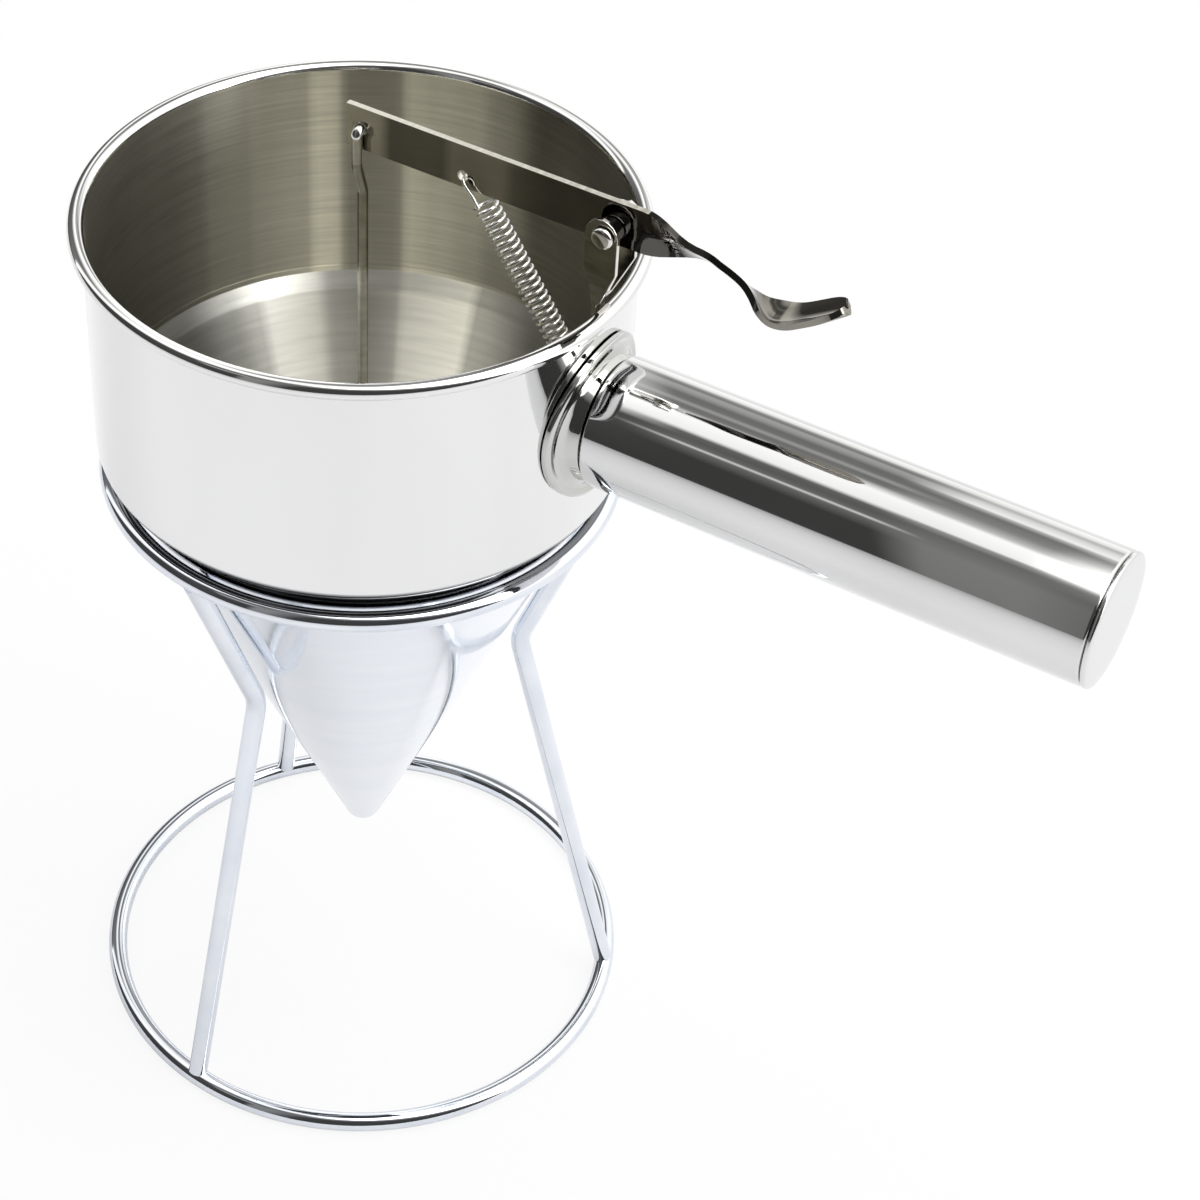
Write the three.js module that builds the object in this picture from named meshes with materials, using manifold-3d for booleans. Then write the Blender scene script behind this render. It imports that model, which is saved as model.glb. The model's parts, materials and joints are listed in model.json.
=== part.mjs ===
// Pancake batter dispenser: a steel funnel with a sprung lever valve and a tube handle, on a wire stand.
// Millimetres, +Z up, +X along the handle. The origin is the middle of the object's box, on the floor.
import * as THREE from 'three';
import { mergeVertices } from 'three/addons/utils/BufferGeometryUtils.js';
import Module from 'manifold-3d';

const wasm = await Module();
wasm.setup();

// Fits and fineness
const clearance = 0.3;
const overrun = 5;
const roundSegments = 60;
const handleSegments = 40;
const smallSegments = 24;
const wireSides = 10;

// Bowl and cone, spun from sheet
const sheet = 0.7;
const rimRadius = 69;
const wallHeight = 61;
const beadRadius = 2;
const shoulderHeight = 5.4;
const shoulderInset = 3.1;
const lapHeight = 1.6;
const tipZ = 52.6;
const tipRadius = 4.05;
const tipRound = 0.25;

// Wire stand
const wireRadius = 2.7;
const baseRingRadius = 70.4;
const topRingZ = 179;
const shoulderOverRing = 12;
const kneeStandoff = 5.9;
const kneeZ = 124;
const kneeBend = 12;
const legCount = 3;
const firstLegAngle = THREE.MathUtils.degToRad(23.3);

// Tube handle
const handleDrop = 31.7;
const handleRadius = 16.15;
const handleSheet = 0.8;
const handleLength = 126.3;
const capThickness = 1;
const edgeRound = 0.6;
const spigotLength = 9;
const cupSheet = 1.2;
const waistInset = 1.95;
const waistLength = 0.7;
const flangeBrim = 4.35;
const flangeThickness = 1;
const collarFlare = 1.05;
const collarInset = 1.15;
const collarHeight = 2.2;
const waistGap = 0.9;

// Lever, a strip on edge whose tail is twisted flat for the thumb
const leverHeight = 11;
const leverThickness = 1.5;
const leverChamfer = 0.25;
const leverRise = 1.5;
const leverInnerReach = 4;
const twistFromPivot = 12;
const twistLength = 25;
const tailFromPivot = 13;
const tailLength = 44.5;
const padDrop = 8.3;
const padWidth = 10;
const waistWidth = 8.5;
const tipStartShare = 0.86;
const springFromPivot = 39.4;
const springHoleDrop = 2.5;
const hookHoleRadius = 1.4;

// Pivot, on the bracket above the rim
const pivotInset = 2;
const pivotOverRim = 21.5;
const pinRadius = 1.5;
const pinHeadRadius = 2.7;
const pinHeadHeight = 1.6;
const pinTail = 0.8;
const nutRadius = 3.2;
const nutHeight = 1.8;
const bushRadius = 3;

// Bracket, bent from sheet into a fork with a tail inside the bowl
const bracketSheet = 1.2;
const forkWidth = 10;
const forkHalf = 4.15;
const forkOffset = 0.65;
const forkFootOverRim = 12;
const tailWidth = 4.4;
const tailDrop = 30;
const crotchOverRim = 3.5;
const crotchWidth = 1.8;
const lugDrop = 18.4;
const lugHeight = 8.6;
const lugEdge = 2.7;
const anchorInset = 4;

// Valve rod, plug and lock nut
const rodRadius = 1.35;
const rodOffset = 2.5;
const rodJogDrop = 17;
const rodJogHeight = 8;
const rodBend = 1.6;
const hookDrop = 5;
const openAngle = THREE.MathUtils.degToRad(8);
const plugRadius = 5.5;
const plugNeckRadius = 3.2;
const plugNeckHeight = 10.5;
const plugNeckEdge = 2.5;
const rodSocketDepth = 8;
const lockNutRadius = 3.4;
const lockNutHeight = 2.4;

// Extension spring
const springWire = 0.9;
const springCoilRadius = 2.7;
const springLean = 0.9;
const springTurns = 22;
const stepsPerTurn = 8;
const springSides = 5;
const hookRadius = 2;
const hookTail = 1.2;
const hookLength = 7.4;

// Heights and reaches that follow from the sizes above
const shoulderTopZ = topRingZ + shoulderOverRing;
const rimTopZ = shoulderTopZ + wallHeight;
const wallInner = rimRadius - 2 * beadRadius;
const wallRadius = wallInner + sheet;
const coneTopZ = shoulderTopZ - shoulderHeight;
const coneSlope = (wallRadius - shoulderInset - tipRadius) / (coneTopZ - tipZ);
const coneAngle = Math.atan(coneSlope);
const coneSkin = sheet / Math.cos(coneAngle);
const wireFlat = wireRadius * Math.cos(Math.PI / wireSides);
const topRingRadius = coneRadiusAt(topRingZ) + (wireRadius + clearance) / Math.cos(coneAngle);
const kneeReach = coneRadiusAt(kneeZ) + kneeStandoff;
const handleZ = rimTopZ - handleDrop;
const flangeRadius = handleRadius + flangeBrim;
const spigotRadius = handleRadius - handleSheet - clearance;
const skinReach = wallRadius + clearance + flangeThickness;
const collarReach = skinReach + collarHeight;
const handleRootReach = collarReach + waistGap;
const handleEndReach = handleRootReach + handleLength;
const pivotReach = rimRadius - pivotInset;
const pivotZ = rimTopZ + pivotOverRim;
const leverZ = pivotZ + leverRise;
const springHoleReach = pivotReach - springFromPivot;
const forkMiddle = pivotReach - forkOffset;
const forkFootZ = rimTopZ + forkFootOverRim;
const forkInnerWidth = forkWidth - 2 * bracketSheet;
const tailReach = Math.sqrt(wallInner ** 2 - (tailWidth / 2) ** 2) - clearance;
const anchorReach = tailReach - anchorInset;
const lugTopZ = rimTopZ - lugDrop;
const anchorZ = lugTopZ - lugEdge;
const pinBoreRadius = pinRadius + clearance;
const rodBoreRadius = rodRadius + clearance;
const plugZ = tipZ + ((plugRadius + clearance) / Math.cos(coneAngle) + coneSkin - tipRadius) / coneSlope;
const plugTopZ = plugZ + plugNeckHeight;
const funnelX = (baseRingRadius + wireRadius - handleEndReach) / 2;

function mirrorSteel() {
  return new THREE.MeshStandardMaterial({ color: 0xd9dbdd, roughness: 0.08, metalness: 1 });
}

function brushedSteel() {
  return new THREE.MeshStandardMaterial({ color: 0xc4c2ba, roughness: 0.3, metalness: 1 });
}

function chromedWire() {
  return new THREE.MeshStandardMaterial({ color: 0xdcdde4, roughness: 0.06, metalness: 1 });
}

function stripSteel() {
  return new THREE.MeshStandardMaterial({ color: 0xa29d96, roughness: 0.22, metalness: 1 });
}

function springSteel() {
  return new THREE.MeshStandardMaterial({ color: 0xcfccc4, roughness: 0.2, metalness: 1 });
}

function coneRadiusAt(z) {
  return tipRadius + coneSlope * (z - tipZ);
}

function point(x, y) {
  return new THREE.Vector2(x, y);
}

function arc(centreX, centreY, radius, fromDegrees, toDegrees, steps) {
  const points = [];
  for (let i = 0; i <= steps; i += 1) {
    const angle = THREE.MathUtils.degToRad(fromDegrees + ((toDegrees - fromDegrees) * i) / steps);
    points.push(point(centreX + radius * Math.cos(angle), centreY + radius * Math.sin(angle)));
  }
  return points;
}

// Moves an open outline sideways, to its left for a positive distance.
function offsetOutline(points, distance) {
  return points.map((p, i) => {
    const before = points[Math.max(i - 1, 0)];
    const after = points[Math.min(i + 1, points.length - 1)];
    const along = after.clone().sub(before).normalize();
    return point(p.x - along.y * distance, p.y + along.x * distance);
  });
}

// Joins equal corners, drops empty faces and turns every face outwards.
function outward(geometry) {
  const bare = geometry.clone();
  bare.deleteAttribute('normal');
  bare.deleteAttribute('uv');
  const merged = mergeVertices(bare);
  const position = merged.attributes.position;
  const index = merged.index.array;
  const a = new THREE.Vector3();
  const b = new THREE.Vector3();
  const c = new THREE.Vector3();
  let volume = 0;
  const kept = [];
  for (let i = 0; i < index.length; i += 3) {
    const corners = [index[i], index[i + 1], index[i + 2]];
    if (new Set(corners).size < corners.length) {
      continue;
    }
    a.fromBufferAttribute(position, corners[0]);
    b.fromBufferAttribute(position, corners[1]);
    c.fromBufferAttribute(position, corners[2]);
    volume += a.dot(b.clone().cross(c));
    kept.push(corners);
  }
  const turned = volume < 0 ? kept.map(([i, j, k]) => [i, k, j]) : kept;
  merged.setIndex(turned.flat());
  return merged;
}

function toSolid(geometry) {
  const closed = outward(geometry);
  const vertProperties = Float32Array.from(closed.attributes.position.array);
  const triVerts = Uint32Array.from(closed.index.array);
  return new wasm.Manifold(new wasm.Mesh({ numProp: 3, vertProperties, triVerts }));
}

function toGeometry(solid) {
  const mesh = solid.getMesh();
  const geometry = new THREE.BufferGeometry();
  geometry.setAttribute('position', new THREE.BufferAttribute(Float32Array.from(mesh.vertProperties), 3));
  geometry.setIndex(Array.from(mesh.triVerts));
  return geometry;
}

function cut(geometry, ...tools) {
  return toGeometry(tools.reduce((solid, tool) => solid.subtract(toSolid(tool)), toSolid(geometry)));
}

function join(geometry, ...others) {
  return toGeometry(others.reduce((solid, other) => solid.add(toSolid(other)), toSolid(geometry)));
}

function intersect(geometry, other) {
  return toGeometry(toSolid(geometry).intersect(toSolid(other)));
}


// Turns an outline of radius and height round the vertical axis.
function revolve(outline, segments) {
  return outward(new THREE.LatheGeometry(outline, segments).rotateX(Math.PI / 2));
}

// Turns an outline of radius and reach round the handle's axis.
function revolveAlongHandle(outline) {
  const turned = new THREE.LatheGeometry(outline, handleSegments).rotateZ(-Math.PI / 2);
  return outward(turned.translate(0, 0, handleZ));
}

// An upright drum on the funnel's axis, tall enough to pass the handle's flange.
function flangeDrum(radius) {
  const height = 2 * (flangeRadius + overrun);
  const drum = new THREE.CylinderGeometry(radius, radius, height, 2 * roundSegments);
  return drum.rotateX(Math.PI / 2).translate(0, 0, handleZ);
}

// A round bar or bore along Y, between two places.
function crossBar(x, z, radius, fromY, toY) {
  const length = toY - fromY;
  const bar = new THREE.CylinderGeometry(radius, radius, length, smallSegments);
  return bar.translate(x, fromY + length / 2, z);
}

// A bore along Y that passes right through.
function crossBore(x, z, radius) {
  return crossBar(x, z, radius, -forkWidth, forkWidth);
}

// A plate that stands in the plane of the handle, its outline in reach and height.
function plateAlong(outline, thickness) {
  const plate = new THREE.ExtrudeGeometry(new THREE.Shape(outline), {
    depth: thickness,
    bevelEnabled: false,
  });
  return plate.rotateX(Math.PI / 2).translate(0, thickness / 2, 0);
}

// A plate that stands across the handle, its outline in width and height.
function plateAcross(outline, fromReach, thickness) {
  const plate = new THREE.ExtrudeGeometry(new THREE.Shape(outline), {
    depth: thickness,
    bevelEnabled: false,
  });
  return plate.rotateX(Math.PI / 2).rotateZ(Math.PI / 2).translate(fromReach, 0, 0);
}

// A ring of wire, one flat of its section underneath.
function ringOfWire(ringRadius, z, radius) {
  const turn = 180 / wireSides;
  return revolve(arc(ringRadius, z, radius, turn - 90, turn + 270, wireSides), roundSegments);
}

// Skins a row of closed rings of points, with flat ends.
function loft(rings) {
  const sides = rings[0].length;
  const positions = rings.flat().flatMap((p) => [p.x, p.y, p.z]);
  const index = [];
  for (let i = 0; i + 1 < rings.length; i += 1) {
    for (let j = 0; j < sides; j += 1) {
      const next = (j + 1) % sides;
      const low = i * sides;
      const high = low + sides;
      index.push(low + j, high + j, high + next, low + j, high + next, low + next);
    }
  }
  const last = (rings.length - 1) * sides;
  for (let j = 1; j + 1 < sides; j += 1) {
    index.push(0, j, j + 1, last, last + j + 1, last + j);
  }
  const geometry = new THREE.BufferGeometry();
  geometry.setAttribute('position', new THREE.Float32BufferAttribute(positions, 3));
  geometry.setIndex(index);
  return outward(geometry);
}

// A round wire along a row of points, its section carried on without twist.
function wireAlong(points, radius, sides) {
  let normal = null;
  const rings = points.map((p, i) => {
    const before = points[Math.max(i - 1, 0)];
    const after = points[Math.min(i + 1, points.length - 1)];
    const along = after.clone().sub(before).normalize();
    if (normal === null) {
      normal = new THREE.Vector3(along.z, along.x, along.y);
    }
    normal = normal.clone().addScaledVector(along, -normal.dot(along)).normalize();
    const side = along.clone().cross(normal);
    const ring = [];
    for (let j = 0; j < sides; j += 1) {
      const angle = (2 * Math.PI * j) / sides;
      const offset = normal.clone().multiplyScalar(radius * Math.cos(angle));
      ring.push(p.clone().add(offset).addScaledVector(side, radius * Math.sin(angle)));
    }
    return ring;
  });
  return loft(rings);
}

// The middle line of a wire that is bent at each inner corner.
function bentPath(corners, bendRadius, stepsPerBend) {
  const points = [corners[0]];
  for (let i = 1; i + 1 < corners.length; i += 1) {
    const entry = corners[i].clone().sub(corners[i - 1]);
    const leave = corners[i + 1].clone().sub(corners[i]);
    const setback = bendRadius * Math.tan(entry.angleTo(leave) / 2);
    const start = corners[i].clone().sub(entry.setLength(setback));
    const end = corners[i].clone().add(leave.setLength(setback));
    const curve = new THREE.QuadraticBezierCurve3(start, corners[i], end);
    points.push(...curve.getPoints(stepsPerBend));
  }
  points.push(corners[corners.length - 1]);
  return points;
}

function namedMesh(name, geometry, material) {
  const mesh = new THREE.Mesh(geometry, material);
  mesh.name = name;
  return mesh;
}

// The bowl's turned-in lower edge, from the straight wall down to the cone.
function shoulderOutline() {
  const insetShares = [0, 0.05, 0.22, 0.55, 1];
  const dropShares = [0, 0.28, 0.55, 0.8, 1];
  return insetShares.map((share, i) => {
    return point(wallRadius - share * shoulderInset, shoulderTopZ - dropShares[i] * shoulderHeight);
  });
}

// Bowl: straight wall, rim curled outwards, and the shoulder that takes the cone.
function makeBowlWall() {
  const beadX = rimRadius - beadRadius;
  const beadZ = rimTopZ - beadRadius;
  const curlOuter = arc(beadX, beadZ, beadRadius, 180, -90, 9);
  const curlInner = arc(beadX, beadZ, beadRadius - sheet, -90, 180, 6);
  const shoulder = shoulderOutline();
  const inside = offsetOutline(shoulder, -sheet).reverse();
  const outline = [...inside, ...curlOuter, ...curlInner, ...shoulder];
  outline.push(outline[0].clone());
  return revolve(outline, roundSegments);
}

// Cone: its lip laps inside the shoulder, and its tip is the outlet.
function makeFunnelCone() {
  const lip = shoulderOutline();
  lip.unshift(point(wallRadius, shoulderTopZ + lapHeight));
  const lipOuter = offsetOutline(lip, -(sheet + clearance));
  const lipInner = offsetOutline(lip, -(2 * sheet + clearance));
  const joinZ = coneTopZ - clearance;
  const settleZ = coneTopZ - shoulderInset;
  const outline = [
    ...lipOuter,
    point(coneRadiusAt(joinZ), joinZ),
    point(coneRadiusAt(tipZ + tipRound), tipZ + tipRound),
    point(tipRadius - tipRound, tipZ),
    point(tipRadius - coneSkin + tipRound, tipZ),
    point(coneRadiusAt(tipZ + tipRound) - coneSkin, tipZ + tipRound),
    point(coneRadiusAt(settleZ) - coneSkin, settleZ),
    ...lipInner.reverse(),
  ];
  outline.push(outline[0].clone());
  return revolve(outline, roundSegments);
}

// Leg: one wire that follows the cone in to its knee, then splays out to the base ring.
function makeStandLeg(angle) {
  const at = (reach, z) => new THREE.Vector3(reach * Math.cos(angle), reach * Math.sin(angle), z);
  const corners = [at(topRingRadius, topRingZ), at(kneeReach, kneeZ), at(baseRingRadius, wireFlat)];
  const wire = wireAlong(bentPath(corners, kneeBend, 5), wireRadius, wireSides);
  const upperSeat = ringOfWire(topRingRadius, topRingZ, wireRadius + clearance);
  const lowerSeat = ringOfWire(baseRingRadius, wireFlat, wireRadius + clearance);
  return cut(wire, upperSeat, lowerSeat);
}

// Flange: a round saddle on the bowl's wall, drawn up into a flared collar.
function makeHandleFlange() {
  const backReach = wallRadius - overrun;
  const flareShares = [0, 0.2, 0.45, 0.72, 1];
  const narrowShares = [0, 0.45, 0.75, 0.92, 1];
  const flare = flareShares.map((share, i) => {
    return point(
      handleRadius + THREE.MathUtils.lerp(collarFlare, -collarInset, narrowShares[i]),
      THREE.MathUtils.lerp(skinReach, collarReach, share),
    );
  });
  const disc = revolveAlongHandle([
    point(0, backReach),
    point(flangeRadius, backReach),
    point(flangeRadius, skinReach),
    point(0, skinReach),
  ]);
  const collar = revolveAlongHandle([
    point(0, backReach),
    point(handleRadius + collarFlare, backReach),
    ...flare,
    point(0, collarReach),
  ]);
  const saddle = intersect(disc, flangeDrum(skinReach));
  return cut(join(saddle, collar), flangeDrum(wallRadius + clearance));
}

// Neck: a pressed cup, with a narrow waist at the collar and the spigot that the tube slips over.
function makeHandleNeck() {
  const waistRadius = handleRadius - waistInset;
  const inner = waistRadius - cupSheet;
  const start = collarReach + clearance;
  const step = handleRootReach + waistLength;
  const end = handleRootReach + spigotLength;
  return revolveAlongHandle([
    point(0, start),
    point(waistRadius, start),
    point(waistRadius, step),
    point(spigotRadius, step),
    point(spigotRadius, end),
    point(inner, end),
    point(inner, start + cupSheet),
    point(0, start + cupSheet),
  ]);
}

function makeHandleTube() {
  const inner = handleRadius - handleSheet;
  const end = handleEndReach - capThickness - clearance;
  const edge = handleSheet / 2;
  const outline = [
    point(inner, handleRootReach),
    point(handleRadius - edge, handleRootReach),
    point(handleRadius, handleRootReach + edge),
    point(handleRadius, end),
    point(inner, end),
  ];
  return revolveAlongHandle([...outline, outline[0]]);
}

// End cap: a pressed cup, its flat face with a rounded edge and its rim inside the tube.
function makeHandleEndCap() {
  const back = handleEndReach - capThickness;
  return revolveAlongHandle([
    point(0, handleEndReach - cupSheet),
    point(spigotRadius - cupSheet, handleEndReach - cupSheet),
    point(spigotRadius - cupSheet, back - spigotLength),
    point(spigotRadius, back - spigotLength),
    point(spigotRadius, back),
    point(handleRadius, back),
    ...arc(handleRadius - edgeRound, handleEndReach - edgeRound, edgeRound, 0, 90, 3),
    point(0, handleEndReach),
  ]);
}

// The fork seen along the handle: a narrow tail that spreads into two arms.
function forkFrontOutline() {
  const tail = tailWidth / 2;
  const outer = forkWidth / 2;
  const inner = forkInnerWidth / 2;
  const top = pivotZ + forkHalf + overrun;
  const right = [
    point(tail, rimTopZ - tailDrop),
    point(tail, rimTopZ + clearance),
    point(outer, forkFootZ),
    point(outer, top),
    point(inner, top),
    point(inner, forkFootZ),
    point(crotchWidth / 2, rimTopZ + crotchOverRim),
  ];
  const left = right.map((p) => point(-p.x, p.y)).reverse();
  return [...right, ...left];
}

// The fork seen from the side: the tail in the bowl, and an arm that leans out over the rim.
function forkSideOutline() {
  const tailBack = tailReach - bracketSheet;
  const overRim = rimTopZ + clearance;
  return [
    point(tailBack, rimTopZ - tailDrop),
    point(tailReach, rimTopZ - tailDrop),
    point(tailReach, overRim),
    point(tailReach + bracketSheet, overRim + bracketSheet),
    point(forkMiddle + forkHalf, forkFootZ),
    ...arc(forkMiddle, pivotZ, forkHalf, 0, 180, 8),
    point(forkMiddle - forkHalf, forkFootZ),
    point(tailBack, overRim + overrun),
  ];
}

// Lug: a plate inside the bowl, one corner cut off, that takes the spring's lower hook.
function lugOutline() {
  const root = tailReach - bracketSheet / 2;
  const nose = anchorReach - lugEdge;
  const corner = lugHeight / 3;
  return [
    point(root, lugTopZ - lugHeight),
    point(root, lugTopZ),
    point(nose + corner, lugTopZ),
    point(nose, lugTopZ - corner),
    point(nose, lugTopZ - 2 * corner),
  ];
}

// Bracket: fork and tail in one, with the lug for the spring.
function makePivotBracket() {
  const start = forkMiddle - forkHalf - overrun;
  const front = plateAcross(forkFrontOutline(), start, 2 * (forkHalf + overrun));
  const fork = intersect(plateAlong(forkSideOutline(), forkWidth + overrun), front);
  const lug = plateAlong(lugOutline(), bracketSheet);
  const pinBore = crossBore(pivotReach, pivotZ, pinBoreRadius);
  const hookHole = crossBore(anchorReach, anchorZ, hookHoleRadius);
  return cut(join(fork, lug), pinBore, hookHole);
}

// Pivot pin: a domed head on the near side, its shank through arms, bushes and lever.
function makePivotPin() {
  const headFace = forkWidth / 2 + clearance;
  const shankEnd = headFace + nutHeight + pinTail;
  const domeRadiusShares = [1, 0.86, 0.5];
  const domeHeightShares = [0.4, 0.75, 0.95];
  const dome = domeRadiusShares.map((share, i) => {
    return point(pinHeadRadius * share, headFace + pinHeadHeight * domeHeightShares[i]);
  });
  const outline = [
    point(0, -shankEnd),
    point(pinRadius - clearance, -shankEnd),
    point(pinRadius, -shankEnd + clearance),
    point(pinRadius, headFace),
    point(pinHeadRadius, headFace),
    ...dome,
    point(0, headFace + pinHeadHeight),
  ];
  const turned = new THREE.LatheGeometry(outline, smallSegments).rotateX(Math.PI);
  return outward(turned.translate(pivotReach, 0, pivotZ));
}

function makePivotNut() {
  const start = forkWidth / 2 + clearance;
  const hexagon = new THREE.CylinderGeometry(nutRadius, nutRadius, nutHeight, 6);
  hexagon.translate(pivotReach, start + nutHeight / 2, pivotZ);
  return cut(hexagon, crossBore(pivotReach, pivotZ, pinBoreRadius));
}

// Bush: fills the room between the lever and one arm of the fork.
function makePivotBush(side) {
  const start = leverThickness / 2 + clearance;
  const end = forkInnerWidth / 2 - clearance;
  const [from, to] = side < 0 ? [-end, -start] : [start, end];
  const sleeve = crossBar(pivotReach, pivotZ, bushRadius, from, to);
  return cut(sleeve, crossBore(pivotReach, pivotZ, pinBoreRadius));
}

// The middle line of the lever's tail: a dip past the twist, then a rise for the thumb.
function leverTailPath() {
  const alongShares = [0, 0.225, 0.315, 0.404, 0.479, 0.551, 0.64, 0.73, 0.831, 0.942, 1];
  const dropShares = [0, 0.048, 0.205, 0.398, 0.651, 0.904, 1, 0.892, 0.578, 0.193, 0];
  return new THREE.CatmullRomCurve3(alongShares.map((share, i) => {
    const reach = pivotReach + tailFromPivot + share * tailLength;
    return new THREE.Vector3(reach, 0, leverZ - dropShares[i] * padDrop);
  }));
}

// The strip's width: full at the pivot, less in the twist, more at the pad, and rounded at the tip.
function leverWidthAt(share) {
  const { lerp, smoothstep } = THREE.MathUtils;
  const narrowed = lerp(leverHeight, waistWidth, smoothstep(share, 0.1, 0.5));
  const widened = lerp(narrowed, padWidth, smoothstep(share, 0.55, 0.8));
  const tipShare = Math.max(0, share - tipStartShare) / (1 - tipStartShare);
  return widened * Math.sqrt(1 - 0.9 * tipShare ** 2);
}

// One section of the strip, its edges broken, turned from upright by an angle.
function leverRing(centre, along, turn, width) {
  const h = width / 2;
  const t = leverThickness / 2;
  const c = leverChamfer;
  const up = new THREE.Vector3(-along.z, 0, along.x).multiplyScalar(Math.cos(turn));
  const across = up.addScaledVector(new THREE.Vector3(0, -1, 0), Math.sin(turn));
  const through = along.clone().cross(across);
  const section = [
    point(h - c, t), point(h, t - c), point(h, c - t), point(h - c, -t),
    point(c - h, -t), point(-h, c - t), point(-h, t - c), point(c - h, t),
  ];
  return section.map((p) => centre.clone().addScaledVector(across, p.x).addScaledVector(through, p.y));
}

// Slot for the rod's hook: long enough for the arc that the lever's end moves on.
function rodSlot() {
  const shift = pivotReach * (1 - Math.cos(openAngle));
  const ends = [0, -shift].map((reach) => crossBore(reach, leverZ, rodBoreRadius));
  const middle = new THREE.BoxGeometry(shift, 2 * forkWidth, 2 * rodBoreRadius);
  return join(middle.translate(-shift / 2, 0, leverZ), ...ends);
}

function makeLever() {
  const steps = 36;
  const twistStart = pivotReach + twistFromPivot;
  const level = new THREE.Vector3(1, 0, 0);
  const path = leverTailPath();
  const rings = [leverRing(new THREE.Vector3(-leverInnerReach, 0, leverZ), level, 0, leverHeight)];
  for (let i = 0; i <= steps; i += 1) {
    const share = i / steps;
    const centre = path.getPoint(share);
    const along = i === 0 ? level : path.getTangent(share);
    const turned = THREE.MathUtils.smoothstep(centre.x, twistStart, twistStart + twistLength);
    rings.push(leverRing(centre, along, (turned * Math.PI) / 2, leverWidthAt(share)));
  }
  const pinBore = crossBore(pivotReach, pivotZ, pinBoreRadius);
  const hookHole = crossBore(springHoleReach, leverZ - springHoleDrop, hookHoleRadius);
  return cut(loft(rings), pinBore, hookHole, rodSlot());
}

// Rod: stands on the axis, steps aside below the lever and hooks through its slot.
function makeValveRod() {
  const corners = [
    new THREE.Vector3(0, 0, plugTopZ - rodSocketDepth + clearance),
    new THREE.Vector3(0, 0, leverZ - rodJogDrop),
    new THREE.Vector3(0, -rodOffset, leverZ - rodJogDrop + rodJogHeight),
    new THREE.Vector3(0, -rodOffset, leverZ),
    new THREE.Vector3(0, rodOffset, leverZ),
    new THREE.Vector3(0, rodOffset, leverZ - hookDrop),
  ];
  return wireAlong(bentPath(corners, rodBend, 5), rodRadius, wireSides);
}

// Plug: a ball end that seats in the cone's tip, with a tapered neck for the rod.
function makeValvePlug() {
  return revolve([
    ...arc(0, plugZ, plugRadius, -90, 45, 9),
    point(plugNeckRadius, plugTopZ - plugNeckEdge),
    point(plugNeckRadius, plugTopZ - clearance),
    point(plugNeckRadius - clearance, plugTopZ),
    point(rodBoreRadius, plugTopZ),
    point(rodBoreRadius, plugTopZ - rodSocketDepth),
    point(0, plugTopZ - rodSocketDepth),
  ], smallSegments);
}

function makeLockNut() {
  const middle = plugTopZ + clearance + lockNutHeight / 2;
  const hexagon = new THREE.CylinderGeometry(lockNutRadius, lockNutRadius, lockNutHeight, 6);
  const bore = new THREE.CylinderGeometry(rodBoreRadius, rodBoreRadius, 2 * lockNutHeight, smallSegments);
  return cut(hexagon, bore).rotateX(Math.PI / 2).translate(0, 0, middle);
}

// The spring's middle line: a hook in the lever, the curls, and a hook in the bracket's lug.
function springPath() {
  const leverHole = new THREE.Vector3(springHoleReach, 0, leverZ - springHoleDrop);
  const lugHole = new THREE.Vector3(anchorReach, 0, anchorZ);
  const along = lugHole.clone().sub(leverHole).normalize();
  const across = new THREE.Vector3(0, 1, 0);
  const over = along.clone().cross(across);
  const seat = hookHoleRadius - springWire / 2 - 1.5 * clearance;
  const length = leverHole.distanceTo(lugHole) - 2 * seat;
  const place = (distance, onAcross, onOver) => {
    const onAxis = leverHole.clone().addScaledVector(along, seat + distance);
    return onAxis.addScaledVector(across, onAcross).addScaledVector(over, onOver);
  };
  const hook = (toPlace) => {
    const hookSteps = 7;
    const points = [place(toPlace(hookRadius + hookTail), hookRadius, 0)];
    for (let i = 0; i <= hookSteps; i += 1) {
      const angle = (Math.PI * i) / hookSteps;
      const distance = hookRadius * (1 - Math.sin(angle));
      points.push(place(toPlace(distance), hookRadius * Math.cos(angle), 0));
    }
    return points;
  };
  const coil = [];
  const coilSteps = springTurns * stepsPerTurn;
  for (let i = 0; i <= coilSteps; i += 1) {
    const angle = (2 * Math.PI * i) / stepsPerTurn;
    const lean = THREE.MathUtils.lerp(springLean, -springLean, i / coilSteps);
    coil.push(place(
      THREE.MathUtils.lerp(hookLength, length - hookLength, i / coilSteps),
      -springCoilRadius * Math.cos(angle),
      lean + springCoilRadius * Math.sin(angle),
    ));
  }
  const upperHook = hook((distance) => distance);
  const lowerHook = hook((distance) => length - distance).reverse();
  return [...upperHook, ...coil, ...lowerHook];
}

// The least room between parts of the wire that are half a curl or more apart.
function leastSelfGap(points) {
  const apart = stepsPerTurn / 2;
  let least = Infinity;
  for (let i = 0; i < points.length; i += 1) {
    for (let j = i + apart; j < points.length; j += 1) {
      least = Math.min(least, points[i].distanceTo(points[j]) - springWire);
    }
  }
  return least;
}

function makeReturnSpring() {
  const path = springPath();
  console.log(`return_spring least gap to itself: ${leastSelfGap(path).toFixed(2)} mm`);
  return wireAlong(path, springWire / 2, springSides);
}

function buildStand() {
  const stand = new THREE.Group();
  const wire = chromedWire();
  stand.add(namedMesh('stand_top_ring', ringOfWire(topRingRadius, topRingZ, wireRadius), wire));
  stand.add(namedMesh('stand_base_ring', ringOfWire(baseRingRadius, wireFlat, wireRadius), wire));
  for (let i = 0; i < legCount; i += 1) {
    const angle = firstLegAngle + (2 * Math.PI * i) / legCount;
    stand.add(namedMesh(`stand_leg_${i + 1}`, makeStandLeg(angle), wire));
  }
  return stand;
}

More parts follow.
